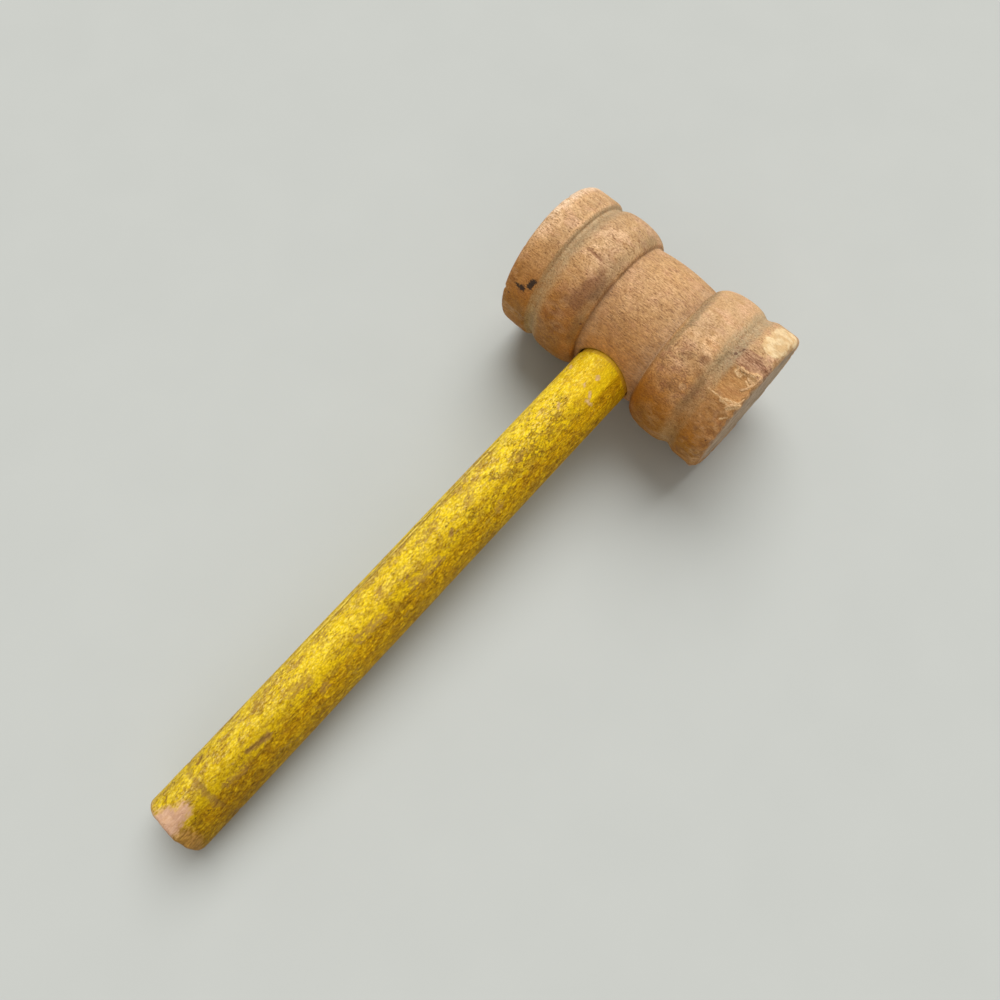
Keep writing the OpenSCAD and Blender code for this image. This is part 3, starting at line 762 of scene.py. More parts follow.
# ---------------------------------------------------------------- materials
class Net:
    """A short way to write node trees."""

    def __init__(self, name):
        self.mat = bpy.data.materials.new(name)
        self.mat.use_nodes = True
        self.t = self.mat.node_tree
        self.t.nodes.clear()
        self.out = self.t.nodes.new("ShaderNodeOutputMaterial")
        self.bsdf = self.t.nodes.new("ShaderNodeBsdfPrincipled")
        self.t.links.new(self.bsdf.outputs[0], self.out.inputs[0])

    def put(self, socket, value):
        if isinstance(value, bpy.types.NodeSocket):
            self.t.links.new(value, socket)
        elif value is not None:
            socket.default_value = value

    def attr(self, name, kind="Fac"):
        n = self.t.nodes.new("ShaderNodeAttribute")
        n.attribute_name = name
        return n.outputs[kind]

    def scale(self, vec, k, shift=(0, 0, 0)):
        n = self.t.nodes.new("ShaderNodeMapping")
        self.put(n.inputs["Vector"], vec)
        n.inputs["Scale"].default_value = k
        n.inputs["Location"].default_value = shift
        return n.outputs[0]

    def noise(self, vec, scale=1.0, detail=3.0, rough=0.55, distort=0.0):
        n = self.t.nodes.new("ShaderNodeTexNoise")
        self.put(n.inputs["Vector"], vec)
        n.inputs["Scale"].default_value = scale
        n.inputs["Detail"].default_value = detail
        n.inputs["Roughness"].default_value = rough
        n.inputs["Distortion"].default_value = distort
        return n.outputs["Fac"]

    def voronoi(self, vec, scale=1.0, feature="F1", randomness=1.0):
        n = self.t.nodes.new("ShaderNodeTexVoronoi")
        n.feature = feature
        self.put(n.inputs["Vector"], vec)
        n.inputs["Scale"].default_value = scale
        n.inputs["Randomness"].default_value = randomness
        return n.outputs["Distance"]

    def math(self, op, a, b=None, c=None, clamp=False):
        n = self.t.nodes.new("ShaderNodeMath")
        n.operation = op
        n.use_clamp = clamp
        self.put(n.inputs[0], a)
        self.put(n.inputs[1], b)
        self.put(n.inputs[2], c)
        return n.outputs[0]

    def step(self, v, lo, hi, to_lo=0.0, to_hi=1.0):
        n = self.t.nodes.new("ShaderNodeMapRange")
        n.interpolation_type = "SMOOTHSTEP"
        if lo > hi:
            lo, hi, to_lo, to_hi = hi, lo, to_hi, to_lo
        self.put(n.inputs["Value"], v)
        n.inputs["From Min"].default_value = lo
        n.inputs["From Max"].default_value = hi
        n.inputs["To Min"].default_value = to_lo
        n.inputs["To Max"].default_value = to_hi
        return n.outputs[0]

    def mix(self, fac, a, b, how="MIX"):
        n = self.t.nodes.new("ShaderNodeMix")
        n.data_type = "RGBA"
        n.blend_type = how
        n.clamp_factor = True
        self.put(n.inputs[0], fac)
        for sock, v in ((n.inputs[6], a), (n.inputs[7], b)):
            if isinstance(v, tuple):
                v = (*v, 1.0) if len(v) == 3 else v
            self.put(sock, v)
        return n.outputs[2]

    def ramp(self, fac, stops):
        n = self.t.nodes.new("ShaderNodeValToRGB")
        self.put(n.inputs[0], fac)
        cr = n.color_ramp
        while len(cr.elements) < len(stops):
            cr.elements.new(0.5)
        for e, (at, col) in zip(cr.elements, stops):
            e.position = at
            e.color = (*col, 1.0)
        return n.outputs[0]

    def bump(self, height, strength, distance, normal=None):
        n = self.t.nodes.new("ShaderNodeBump")
        n.inputs["Strength"].default_value = strength
        n.inputs["Distance"].default_value = distance
        self.put(n.inputs["Height"], height)
        if normal is not None:
            self.put(n.inputs["Normal"], normal)
        return n.outputs[0]


def wood_head():
    w = Net("turned_hardwood_worn")
    loc = w.attr("loc", "Vector")
    m = w.math
    # fibre: short wavy hatching, flecks and pores drawn out along the head
    hatch = w.noise(w.scale(loc, (0.72, 2.9, 2.9)), 1.0, 2.0, 0.55, 0.45)
    fleck = w.noise(w.scale(loc, (0.34, 1.9, 1.9), (4, 2, 6)), 1.0, 3.0, 0.62, 0.20)
    crumb = w.noise(w.scale(loc, (1.7, 3.2, 3.2), (1, 7, 3)), 1.0, 2.0, 0.6, 0.20)
    pore = w.noise(w.scale(loc, (0.80, 3.3, 3.3), (7, 3, 1)), 1.0, 1.0, 0.5)
    streak = w.noise(w.scale(loc, (0.05, 0.55, 0.55), (3, 1, 9)), 1.0, 3.0, 0.6, 0.4)
    cloud = w.noise(w.scale(loc, (0.10, 0.13, 0.13), (2, 8, 4)), 1.0, 3.0, 0.55)
    blotch = w.noise(w.scale(loc, (0.34, 0.42, 0.42), (12, 5, 2)), 1.0, 4.0, 0.62, 0.3)
    flush = w.noise(w.scale(loc, (0.22, 0.28, 0.28), (6, 15, 7)), 1.0, 3.0, 0.6, 0.2)
    # off the waist the surface is worn smoother and the hatching is less one way
    even = w.noise(w.scale(loc, (2.3, 2.7, 2.7), (8, 4, 1)), 1.0, 2.0, 0.6, 0.3)
    keep = w.step(w.attr("waist"), 0.0, 1.0, 0.42, 1.0)
    hatch = m("ADD", 0.5, m("ADD", m("MULTIPLY", m("SUBTRACT", hatch, 0.5), keep), m("MULTIPLY", m("SUBTRACT", even, 0.5), m("SUBTRACT", 1.0, keep))))
    hand = w.attr("hand")
    waist = w.attr("waist")
    # the wood in two copies, top as lit and low for the side towards the hand, darker and more orange: handling patina
    # with painted shade in it; the dust and olive marks below take the same two copies
    top = w.mix(w.step(cloud, 0.35, 0.68), (0.652, 0.388, 0.166), (0.695, 0.422, 0.196))
    top = w.mix(w.step(flush, 0.46, 0.68, 0.0, 0.60), top, (0.770, 0.448, 0.250))
    top = w.mix(waist, w.mix(1.0, top, (0.96, 1.0, 1.10), "MULTIPLY"), top)
    low = w.mix(waist, (0.450, 0.168, 0.012), (0.645, 0.244, 0.022))
    low = w.mix(w.step(cloud, 0.40, 0.66, 0.0, 0.45), low, w.mix(waist, (0.540, 0.228, 0.040), (0.610, 0.260, 0.046)))
    col = w.mix(hand, top, low)
    col = w.mix(w.step(blotch, 0.47, 0.68, 0.0, 0.42), col, (0.76, 0.66, 0.55), "MULTIPLY")
    col = w.mix(w.step(streak, 0.48, 0.72, 0.0, 0.50), col, (0.80, 0.68, 0.55), "MULTIPLY")
    # worn crowns and rims, paler and a little rosy; the bleached patch at the rim
    worn = m("MULTIPLY", w.attr("worn"), w.step(m("ADD", blotch, m("MULTIPLY", m("SUBTRACT", crumb, 0.5), 0.35)), 0.62, 0.40))
    col = w.mix(m("MULTIPLY", worn, 0.85), col, (0.850, 0.555, 0.315))
    cream = w.step(m("ADD", w.attr("cream"), m("MULTIPLY", m("SUBTRACT", crumb, 0.5), 0.9)), 0.25, 0.65)
    col = w.mix(m("MULTIPLY", cream, 0.88), col, w.mix(w.step(blotch, 0.42, 0.60), (0.930, 0.720, 0.420), (0.800, 0.540, 0.265)))
    # pale rims of knocks, and painted light on the left band's shaded shoulder
    col = w.mix(m("MULTIPLY", w.attr("pale"), 0.60), col, (0.800, 0.530, 0.300))
    # freshly split wood: orange floor; bruised purple-brown streaks
    fresh = w.attr("fresh")
    col = w.mix(m("MULTIPLY", fresh, 0.75), col, w.mix(w.step(fleck, 0.40, 0.60), (0.540, 0.275, 0.090), (0.420, 0.185, 0.050)))
    rub = w.step(m("ADD", w.attr("rub"), m("MULTIPLY", m("SUBTRACT", fleck, 0.5), 1.6)), 0.20, 0.80)
    col = w.mix(m("MULTIPLY", rub, 0.74), col, w.mix(w.step(m("ADD", fleck, m("MULTIPLY", m("SUBTRACT", blotch, 0.5), 0.6)), 0.42, 0.60), (0.560, 0.325, 0.195), (0.340, 0.150, 0.085)))
    # stains, grime and dust; dark olive marks at the creases and grooves; dark lines; painted shade in the gap at the
    # hole's lip and on the underside
    stain = m("MULTIPLY", w.attr("stain"), w.step(crumb, 0.66, 0.34, 0.55, 1.0))
    col = w.mix(m("MULTIPLY", stain, 0.88), col, (0.220, 0.088, 0.038))
    dirt = m("MULTIPLY", w.attr("dirty"), w.step(m("ADD", blotch, m("MULTIPLY", m("SUBTRACT", crumb, 0.5), 0.6)), 0.42, 0.60))
    col = w.mix(m("MULTIPLY", dirt, 0.62), col, w.mix(w.step(flush, 0.42, 0.60), (0.250, 0.128, 0.062), (0.330, 0.150, 0.085)))
    dust = m("MULTIPLY", w.attr("dust"), w.step(m("ADD", crumb, m("MULTIPLY", m("SUBTRACT", blotch, 0.5), 0.8)), 0.66, 0.38, 0.55, 1.0))
    col = w.mix(m("MULTIPLY", dust, 0.88), col, w.mix(hand, (0.445, 0.335, 0.195), (0.560, 0.375, 0.180)))
    olive = m("MULTIPLY", w.attr("olive"), w.step(crumb, 0.68, 0.36, 0.45, 1.0))
    col = w.mix(m("MULTIPLY", olive, 0.85), col, w.mix(hand, (0.270, 0.188, 0.094), (0.230, 0.120, 0.038)))
    # dark lines at the foot of the left band's shoulder and in the left crease, and painted shadow in the gap at the
    # handle hole's lip
    col = w.mix(m("MULTIPLY", w.attr("line"), 0.85), col, (0.150, 0.082, 0.034))
    col = w.mix(m("MULTIPLY", w.attr("scratch"), 0.85), col, (0.260, 0.105, 0.048))
    # painted shade: the underside tinted less red and a little bluer
    col = w.mix(w.attr("under"), col, (0.86, 0.96, 1.02), "MULTIPLY")
    col = w.mix(m("MULTIPLY", w.attr("rim"), w.step(blotch, 0.66, 0.40, 0.30, 0.75)), col, (0.840, 0.650, 0.480))
    # the fibre over everything
    calm = m("MAXIMUM", m("MULTIPLY", m("MAXIMUM", dust, hand), 0.45), m("MAXIMUM", m("MAXIMUM", m("MULTIPLY", fresh, 0.85), m("MULTIPLY", cream, 0.75)), w.attr("sleek")))
    calm = m("SUBTRACT", 1.0, calm)
    col = w.mix(m("MULTIPLY", calm, w.step(hatch, 0.52, 0.64, 0.0, 0.82)), col, (0.64, 0.54, 0.44), "MULTIPLY")
    col = w.mix(m("MULTIPLY", m("POWER", calm, 0.5), w.step(hatch, 0.48, 0.36, 0.0, 0.90)), col, (1.25, 1.30, 1.38), "MULTIPLY")
    col = w.mix(m("MULTIPLY", calm, w.step(fleck, 0.54, 0.68, 0.0, 0.55)), col, (0.66, 0.56, 0.48), "MULTIPLY")
    col = w.mix(m("MULTIPLY", m("POWER", calm, 0.5), w.step(crumb, 0.53, 0.65, 0.0, 0.72)), col, (0.66, 0.58, 0.52), "MULTIPLY")
    tick = w.noise(w.scale(loc, (1.9, 3.4, 3.4), (6, 2, 8)), 1.0, 1.0, 0.5, 0.3)
    col = w.mix(m("MULTIPLY", m("SUBTRACT", 1.0, cream), w.step(tick, 0.53, 0.65, 0.0, 0.40)), col, (0.72, 0.64, 0.56), "MULTIPLY")
    col = w.mix(m("MULTIPLY", m("SUBTRACT", 1.0, cream), w.step(tick, 0.47, 0.37, 0.0, 0.50)), col, (1.20, 1.25, 1.32), "MULTIPLY")
    col = w.mix(m("MULTIPLY", w.attr("smear"), 0.38), col, (0.700, 0.400, 0.040))
    col = w.mix(m("MULTIPLY", calm, w.step(pore, 0.57, 0.68, 0.0, 0.60)), col, (0.44, 0.36, 0.30), "MULTIPLY")
    # tone: slow changes of tone, with painted light on the shaded groove walls
    col = w.mix(1.0, col, w.attr("tone", "Color"), "MULTIPLY")
    torn = w.step(w.attr("torn"), 0.40, 0.85)
    col = w.mix(m("MULTIPLY", torn, 0.90), col, w.mix(w.step(crumb, 0.38, 0.58), (0.860, 0.600, 0.330), (0.600, 0.340, 0.145)))
    speck = w.step(m("ADD", w.attr("speck"), m("MULTIPLY", w.noise(w.scale(loc, (3.5, 3.5, 3.5)), 1.0, 2.0), 0.3)), 0.22, 0.06)
    col = w.mix(m("MULTIPLY", speck, 0.78), col, (0.110, 0.045, 0.025))
    rough_edge = m("MULTIPLY", m("SUBTRACT", w.noise(w.scale(loc, (1.5, 2.2, 2.2), (5, 5, 5)), 1.0, 3.0, 0.7), 0.5), 2.2)
    ink = w.step(m("ADD", w.attr("ink"), rough_edge), 0.22, -0.20)
    col = w.mix(m("MULTIPLY", ink, 0.93), col, (0.022, 0.017, 0.014))
    # end grain: growth rings and dark pores, greyed by use
    end = w.attr("end")
    sep = w.t.nodes.new("ShaderNodeSeparateXYZ")
    w.put(sep.inputs[0], loc)
    far = m("SQRT", m("ADD", m("POWER", m("ADD", sep.outputs[1], 31.0), 2.0), m("POWER", m("SUBTRACT", sep.outputs[2], 17.0), 2.0)))
    rings = m("FRACT", m("ADD", m("MULTIPLY", far, 0.58), m("MULTIPLY", w.noise(w.scale(loc, (0.0, 0.10, 0.10)), 1.0, 3.0, 0.45), 1.5)))
    around = m("ARCTAN2", m("ADD", sep.outputs[1], 31.0), m("SUBTRACT", sep.outputs[2], 17.0))
    polar = w.t.nodes.new("ShaderNodeCombineXYZ")
    w.put(polar.inputs[0], m("MULTIPLY", around, 75.0))
    w.put(polar.inputs[1], m("MULTIPLY", far, 0.16))
    ray = w.noise(polar.outputs[0], 1.0, 2.0, 0.55)
    tube = w.voronoi(w.scale(loc, (0.2, 2.6, 2.6)), 1.0)
    ecol = w.mix(w.step(rings, 0.50, 0.97, 0.0, 0.62), (0.512, 0.374, 0.250), (0.330, 0.226, 0.146))
    ecol = w.mix(w.step(ray, 0.53, 0.66, 0.0, 0.36), ecol, (0.600, 0.460, 0.325))
    ecol = w.mix(w.step(tube, 0.30, 0.12, 0.0, 0.50), ecol, (0.160, 0.105, 0.066))
    grime = w.noise(w.scale(loc, (0.3, 0.20, 0.20), (4, 9, 3)), 1.0, 5.0, 0.68)
    ecol = w.mix(w.step(grime, 0.42, 0.66, 0.0, 0.62), ecol, (0.225, 0.158, 0.106))
    scuff = w.noise(w.scale(loc, (0.3, 0.55, 0.34), (1, 3, 8)), 1.0, 5.0, 0.70, 0.3)
    ecol = w.mix(w.step(scuff, 0.50, 0.70, 0.0, 0.52), ecol, (0.660, 0.530, 0.400))
    ecol = w.mix(w.step(crumb, 0.50, 0.66, 0.0, 0.50), ecol, (0.70, 0.66, 0.62), "MULTIPLY")
    rad = m("SQRT", m("ADD", m("POWER", sep.outputs[1], 2.0), m("POWER", sep.outputs[2], 2.0)))
    crush = w.step(m("ADD", rad, m("MULTIPLY", m("SUBTRACT", grime, 0.5), 6.0)), 17.2, 20.4)
    ecol = w.mix(m("MULTIPLY", crush, 0.64), ecol, w.mix(w.step(scuff, 0.42, 0.58), (0.190, 0.112, 0.072), (0.360, 0.225, 0.140)))
    col = w.mix(m("MULTIPLY", end, m("SUBTRACT", 1.0, m("MULTIPLY", torn, 0.9))), col, ecol)
    w.put(w.bsdf.inputs["Base Color"], col)
    rough = m("ADD", w.step(hatch, 0.3, 0.7, 0.56, 0.68), m("MULTIPLY", m("MAXIMUM", fresh, end), 0.15), clamp=True)
    w.put(w.bsdf.inputs["Roughness"], rough)
    w.bsdf.inputs["Specular IOR Level"].default_value = 0.26
    h = m("SUBTRACT", m("MULTIPLY", m("SUBTRACT", 1.0, hatch), 0.8), m("MULTIPLY", w.step(pore, 0.58, 0.72), 0.35))
    h = m("SUBTRACT", h, m("MULTIPLY", crumb, 0.45))
    h = m("SUBTRACT", h, m("MULTIPLY", fleck, 0.45))
    h = m("ADD", h, m("MULTIPLY", m("MULTIPLY", m("MAXIMUM", fresh, m("MAXIMUM", rub, cream)), w.noise(w.scale(loc, (0.8, 2.4, 2.4)), 1.0, 4.0, 0.7)), 0.9))
    h = m("SUBTRACT", h, m("MULTIPLY", end, m("MULTIPLY", w.step(tube, 0.30, 0.10), 0.8)))
    w.put(w.bsdf.inputs["Normal"], w.bump(h, 0.85, 0.00022))
    return w.mat


def painted_handle():
    w = Net("yellow_paint_worn")
    loc = w.attr("loc", "Vector")
    m = w.math
    part = lambda v, k: m("MULTIPLY", m("SUBTRACT", v, 0.5), k)
    flank = w.attr("flank")
    near = w.attr("near")
    aged = m("SUBTRACT", 1.0, m("MULTIPLY", near, 0.84))
    crumbly = w.attr("crumbly")
    # from broad clouds to single crumbs of the old film
    patch = w.noise(w.scale(loc, (0.20, 0.085, 0.20), (9, 3, 1)), 1.0, 3.0, 0.55, 0.5)
    mottle = w.noise(w.scale(loc, (0.58, 0.33, 0.58), (2, 5, 7)), 1.0, 3.0, 0.60, 0.6)
    crumb = w.noise(w.scale(loc, (1.45, 0.85, 1.45)), 1.0, 3.0, 0.68, 0.6)
    grain = w.noise(w.scale(loc, (3.1, 1.0, 3.1), (3, 1, 5)), 1.0, 2.0, 0.6, 0.4)
    grain2 = w.noise(w.scale(loc, (2.7, 0.9, 2.7), (8, 1, 2)), 1.0, 2.0, 0.6, 0.4)
    vein = w.noise(w.scale(loc, (0.66, 0.40, 0.66), (6, 2, 4)), 1.0, 3.0, 0.62, 1.1)
    fibre = w.noise(w.scale(loc, (2.8, 0.40, 2.8), (4, 2, 8)), 1.0, 3.0, 0.6, 0.30)
    long1 = w.noise(w.scale(loc, (1.1, 0.13, 1.1)), 1.0, 3.0, 0.6, 0.35)
    late = w.attr("late")
    age = m("ADD", m("ADD", part(patch, 0.9), part(mottle, 0.8)), part(crumb, 0.5))
    # where the old film has gone to crumbs, in ragged islands
    isle = m("ADD", m("ADD", part(patch, 0.9), part(mottle, 1.1)), m("ADD", part(crumb, 0.40), part(grain, 0.15)))
    isle = m("MULTIPLY", aged, w.step(m("ADD", isle, m("MULTIPLY", crumbly, 0.02)), -0.02, 0.20))
    # the paint film, bright where it is whole, ochre where it is dirty
    col = w.mix(w.step(age, -0.16, 0.14), w.mix(late, (0.890, 0.645, 0.018), (0.845, 0.605, 0.015)), w.mix(late, (0.785, 0.520, 0.010), (0.690, 0.455, 0.008)))
    col = w.mix(m("MULTIPLY", isle, 0.45), col, w.mix(w.step(m("ADD", patch, part(mottle, 0.5)), 0.46, 0.62), (0.445, 0.270, 0.012), (0.460, 0.265, 0.085)))
    # painted shade as the dowel turns from the light, and a painted highlight along its lit strip and on the ridge
    # between the two long splits
    col = w.mix(w.attr("painted_turn_shade"), col, (0.86, 0.825, 0.30), "MULTIPLY")
    col = w.mix(w.attr("lit"), col, (1.07, 1.08, 1.10), "MULTIPLY")
    col = w.mix(m("MULTIPLY", w.attr("crest"), 0.70), col, (0.980, 0.780, 0.200))
    # the flank is browner, partly rubbed film and partly painted shade of the side turned from the light; darker near
    # the head; streaked along the dowel
    col = w.mix(flank, col, (0.82, 0.685, 0.52), "MULTIPLY")
    col = w.mix(w.attr("root"), col, (0.84, 0.77, 0.60), "MULTIPLY")
    rubbed = m("MULTIPLY", m("ADD", m("MULTIPLY", flank, 0.75), 0.25), w.step(m("ADD", m("ADD", long1, part(fibre, 0.3)), part(crumb, 0.5)), 0.46, 0.64))
    col = w.mix(m("MULTIPLY", rubbed, 0.55), col, (0.390, 0.225, 0.002))
    # rubbed thin: brownish beige wood breathes through
    wear = m("ADD", w.attr("wear"), m("ADD", part(crumb, 1.1), part(grain, 0.7)))
    thin = w.step(wear, -0.12, 0.24)
    tcol = w.mix(w.step(fibre, 0.42, 0.60), (0.600, 0.405, 0.075), (0.420, 0.252, 0.026))
    # painted shade: the thin film is darker on the side turned from the light
    tcol = w.mix(m("MULTIPLY", w.attr("painted_turn_shade"), 0.80), tcol, (0.345, 0.196, 0.004))
    col = w.mix(m("MULTIPLY", thin, 0.52), col, tcol)
    gone = w.step(wear, 0.30, 0.48)
    wood = w.mix(w.step(fibre, 0.40, 0.60), (0.520, 0.338, 0.110), (0.340, 0.196, 0.040))
    col = w.mix(m("MULTIPLY", gone, m("SUBTRACT", 0.80, m("MULTIPLY", flank, 0.35))), col, wood)
    # crumbs: darker in the dents; the painted highlights on the crests come further down
    rough_part = m("ADD", m("MULTIPLY", aged, w.step(crumbly, 0.0, 1.0, 0.14, 0.26)), m("MULTIPLY", isle, w.step(crumbly, 0.0, 1.0, 0.42, 0.55)))
    crazed = w.attr("crazed")
    rough_part = m("MAXIMUM", rough_part, m("MULTIPLY", crazed, 0.50))
    dent = m("MULTIPLY", rough_part, w.step(m("ADD", grain2, part(crumb, 0.60)), 0.50, 0.63))
    col = w.mix(dent, col, (0.60, 0.525, 0.20), "MULTIPLY")
    # curled hairlines, each with a lit side
    seam = m("SUBTRACT", vein, 0.5)
    where = m("MULTIPLY", m("MULTIPLY", aged, w.step(crumbly, 0.0, 1.0, 0.35, 0.75)), w.step(part(mottle, 1.0), -0.08, 0.10))
    col = w.mix(m("MULTIPLY", where, w.step(m("ABSOLUTE", m("ADD", seam, part(grain, 0.16))), 0.042, 0.006)), col, (0.62, 0.54, 0.22), "MULTIPLY")
    side = m("MULTIPLY", w.step(seam, 0.028, 0.055), w.step(seam, 0.120, 0.075))
    # the lit side's colour comes as a lighter copy and a painted-shade copy on the side turned from the light
    col = w.mix(m("MULTIPLY", m("MULTIPLY", where, side), 0.34), col, w.mix(w.attr("painted_turn_shade"), (0.920, 0.700, 0.160), (0.700, 0.480, 0.040)))
    # painted highlights on the lumps of whole film, in a lit and a shaded copy
    lump_highlight = m("MULTIPLY", m("SUBTRACT", 1.0, isle), w.step(m("ADD", crumb, part(mottle, 0.4)), 0.48, 0.36))
    col = w.mix(m("MULTIPLY", lump_highlight, 0.50), col, w.mix(w.attr("painted_turn_shade"), (0.940, 0.740, 0.110), (0.760, 0.515, 0.010)))
    # painted highlights on the crests of the crumbs, weaker on the flank
    glow = m("MULTIPLY", m("ADD", rough_part, 0.10), w.step(m("SUBTRACT", grain, part(crumb, 0.6)), 0.53, 0.63))
    col = w.mix(m("MULTIPLY", glow, m("SUBTRACT", 0.85, m("MULTIPLY", flank, 0.40))), col, w.mix(w.attr("painted_turn_shade"), (0.880, 0.690, 0.250), (0.640, 0.450, 0.040)))
    col = w.mix(m("MULTIPLY", m("ADD", m("MULTIPLY", flank, 0.40), 0.34), w.step(m("ADD", fibre, part(grain2, 0.35)), 0.52, 0.62)), col, (0.58, 0.50, 0.20), "MULTIPLY")
    col = w.mix(m("MULTIPLY", m("ADD", m("MULTIPLY", flank, 0.36), 0.26), w.step(grain, 0.50, 0.38)), col, (1.30, 1.36, 1.60), "MULTIPLY")
    tick = w.noise(w.scale(loc, (3.6, 1.3, 3.6), (2, 6, 9)), 1.0, 1.0, 0.5, 0.3)
    col = w.mix(m("MULTIPLY", m("SUBTRACT", 1.0, m("MULTIPLY", near, 0.55)), w.step(tick, 0.52, 0.64, 0.0, 0.60)), col, (0.70, 0.62, 0.34), "MULTIPLY")
    col = w.mix(m("MULTIPLY", m("ADD", 0.75, m("MULTIPLY", flank, 0.25)), w.step(tick, 0.48, 0.38, 0.0, 0.80)), col, (1.26, 1.30, 1.42), "MULTIPLY")
    smudge = w.step(m("ADD", w.attr("smudge"), m("ADD", part(crumb, 2.4), part(grain, 1.4))), 0.10, 1.00)
    col = w.mix(m("MULTIPLY", smudge, 0.56), col, w.mix(w.step(fibre, 0.42, 0.60), (0.450, 0.268, 0.066), (0.330, 0.176, 0.040)))
    col = w.mix(m("MULTIPLY", w.attr("rail"), 0.85), col, (0.215, 0.115, 0.022))
    # pits and short cracks with dirt in them
    pits = w.attr("pits")
    cell = w.voronoi(w.scale(loc, (1.35, 0.85, 1.35), (3, 7, 2)), 1.0)
    pick = w.noise(w.scale(loc, (0.7, 0.5, 0.7), (5, 9, 1)), 1.0, 2.0)
    pit = m("MULTIPLY", w.step(m("ADD", cell, part(grain2, 0.8)), 0.28, 0.14), w.step(m("ADD", m("MULTIPLY", crazed, 0.16), m("ADD", pick, m("MULTIPLY", pits, 0.20))), 0.65, 0.75))
    cell2 = w.voronoi(w.scale(loc, (0.95, 0.50, 0.95), (1, 2, 9)), 1.0, "DISTANCE_TO_EDGE")
    crack = m("MULTIPLY", w.step(m("SUBTRACT", m("ADD", cell2, part(crumb, 0.30)), m("MULTIPLY", crazed, 0.06)), 0.055, 0.015), w.step(m("ADD", m("MULTIPLY", crazed, 0.30), m("ADD", pick, m("MULTIPLY", pits, 0.16))), 0.60, 0.72))
    dark = m("MAXIMUM", pit, m("MULTIPLY", crack, m("ADD", 0.40, m("MULTIPLY", crazed, 0.26))))
    col = w.mix(m("MULTIPLY", dark, 0.76), col, (0.140, 0.070, 0.012))
    # chips to pale wood, gashes to dirty wood, the worn ring
    wob = m("ADD", part(crumb, 2.6), part(grain2, 1.2))
    chip = w.step(m("ADD", w.attr("chip"), m("MULTIPLY", wob, 0.7)), 0.34, -0.26)
    col = w.mix(m("MULTIPLY", chip, 0.88), col, w.mix(w.step(grain, 0.4, 0.6), (0.720, 0.490, 0.235), (0.600, 0.370, 0.150)))
    gash = w.step(m("ADD", w.attr("gash"), wob), 0.22, -0.20)
    col = w.mix(m("MULTIPLY", gash, 0.84), col, w.mix(w.step(fibre, 0.4, 0.6), (0.360, 0.195, 0.058), (0.190, 0.098, 0.030)))
    ring = w.step(m("ADD", w.attr("ring"), m("MULTIPLY", wob, 1.2)), 1.00, 0.10)
    col = w.mix(m("MULTIPLY", ring, 0.54), col, w.mix(w.step(fibre, 0.4, 0.6), (0.345, 0.200, 0.050), (0.215, 0.118, 0.030)))
    # bare, rubbed wood at the butt and along its edge
    loose = m("ADD", m("ADD", part(fibre, 1.2), part(crumb, 1.8)), part(grain, 0.8))
    hem = w.step(m("ADD", w.attr("hem"), m("MULTIPLY", loose, 2.2)), 1.20, -1.00)
    # the bare edge is darker on the flank: partly painted shade
    col = w.mix(m("MULTIPLY", hem, 0.74), col, w.mix(w.step(m("ADD", crumb, part(fibre, 1.2)), 0.40, 0.60), w.mix(flank, (0.760, 0.450, 0.205), (0.640, 0.350, 0.105)), (0.410, 0.225, 0.060)))
    bare = w.step(m("ADD", w.attr("bare"), m("MULTIPLY", loose, 1.5)), 0.75, -1.20)
    bcol = w.mix(w.step(fibre, 0.38, 0.60), (0.820, 0.540, 0.355), (0.715, 0.430, 0.255))
    bcol = w.mix(w.step(mottle, 0.46, 0.60, 0.0, 0.55), bcol, (0.620, 0.365, 0.245))
    col = w.mix(bare, col, bcol)
    col = w.mix(m("MULTIPLY", w.attr("dim"), 0.90), col, (0.64, 0.61, 0.62), "MULTIPLY")
    # the film's darker orange-brown edge at the head, and painted shadow in the gap at two places
    rim = w.step(m("ADD", w.attr("seat"), part(crumb, 1.6)), 1.00, 0.30)
    col = w.mix(m("MULTIPLY", rim, 0.66), col, (0.430, 0.210, 0.020))
    gap_shadow = m("MULTIPLY", w.attr("gap"), w.step(m("ADD", w.attr("seat"), part(crumb, 0.6)), 0.50, 0.22))
    col = w.mix(w.step(gap_shadow, 0.30, 0.60, 0.0, 0.95), col, (0.014, 0.008, 0.004))
    end = w.attr("end")
    tube = w.voronoi(w.scale(loc, (3.4, 0.2, 3.4)), 1.0)
    ecol = w.mix(w.step(w.noise(w.scale(loc, (0.9, 0.2, 0.9)), 1.0, 3.0), 0.38, 0.62), (0.560, 0.340, 0.170), (0.400, 0.220, 0.100))
    ecol = w.mix(w.step(tube, 0.30, 0.12, 0.0, 0.55), ecol, (0.180, 0.095, 0.045))
    ecol = w.mix(w.step(mottle, 0.50, 0.62, 0.0, 0.6), ecol, (0.600, 0.380, 0.030))
    col = w.mix(end, col, ecol)
    w.put(w.bsdf.inputs["Base Color"], col)
    lost = m("MAXIMUM", m("MAXIMUM", gone, bare), m("MAXIMUM", chip, gash))
    w.put(w.bsdf.inputs["Roughness"], m("ADD", w.step(lost, 0.0, 1.0, 0.50, 0.70), part(crumb, 0.20), clamp=True))
    w.bsdf.inputs["Specular IOR Level"].default_value = 0.07
    h = m("SUBTRACT", m("MULTIPLY", m("SUBTRACT", 1.0, m("MAXIMUM", m("MULTIPLY", thin, 0.4), lost)), 0.60), m("MULTIPLY", dark, 1.0))
    h = m("SUBTRACT", h, m("MULTIPLY", aged, m("ADD", m("MULTIPLY", crumb, 1.3), m("MULTIPLY", m("ADD", isle, 0.25), m("SUBTRACT", m("MULTIPLY", grain2, 0.9), m("MULTIPLY", grain, 0.7))))))
    h = m("SUBTRACT", h, m("MULTIPLY", fibre, 0.35))
    w.put(w.bsdf.inputs["Normal"], w.bump(h, 0.90, 0.00022))
    return w.mat


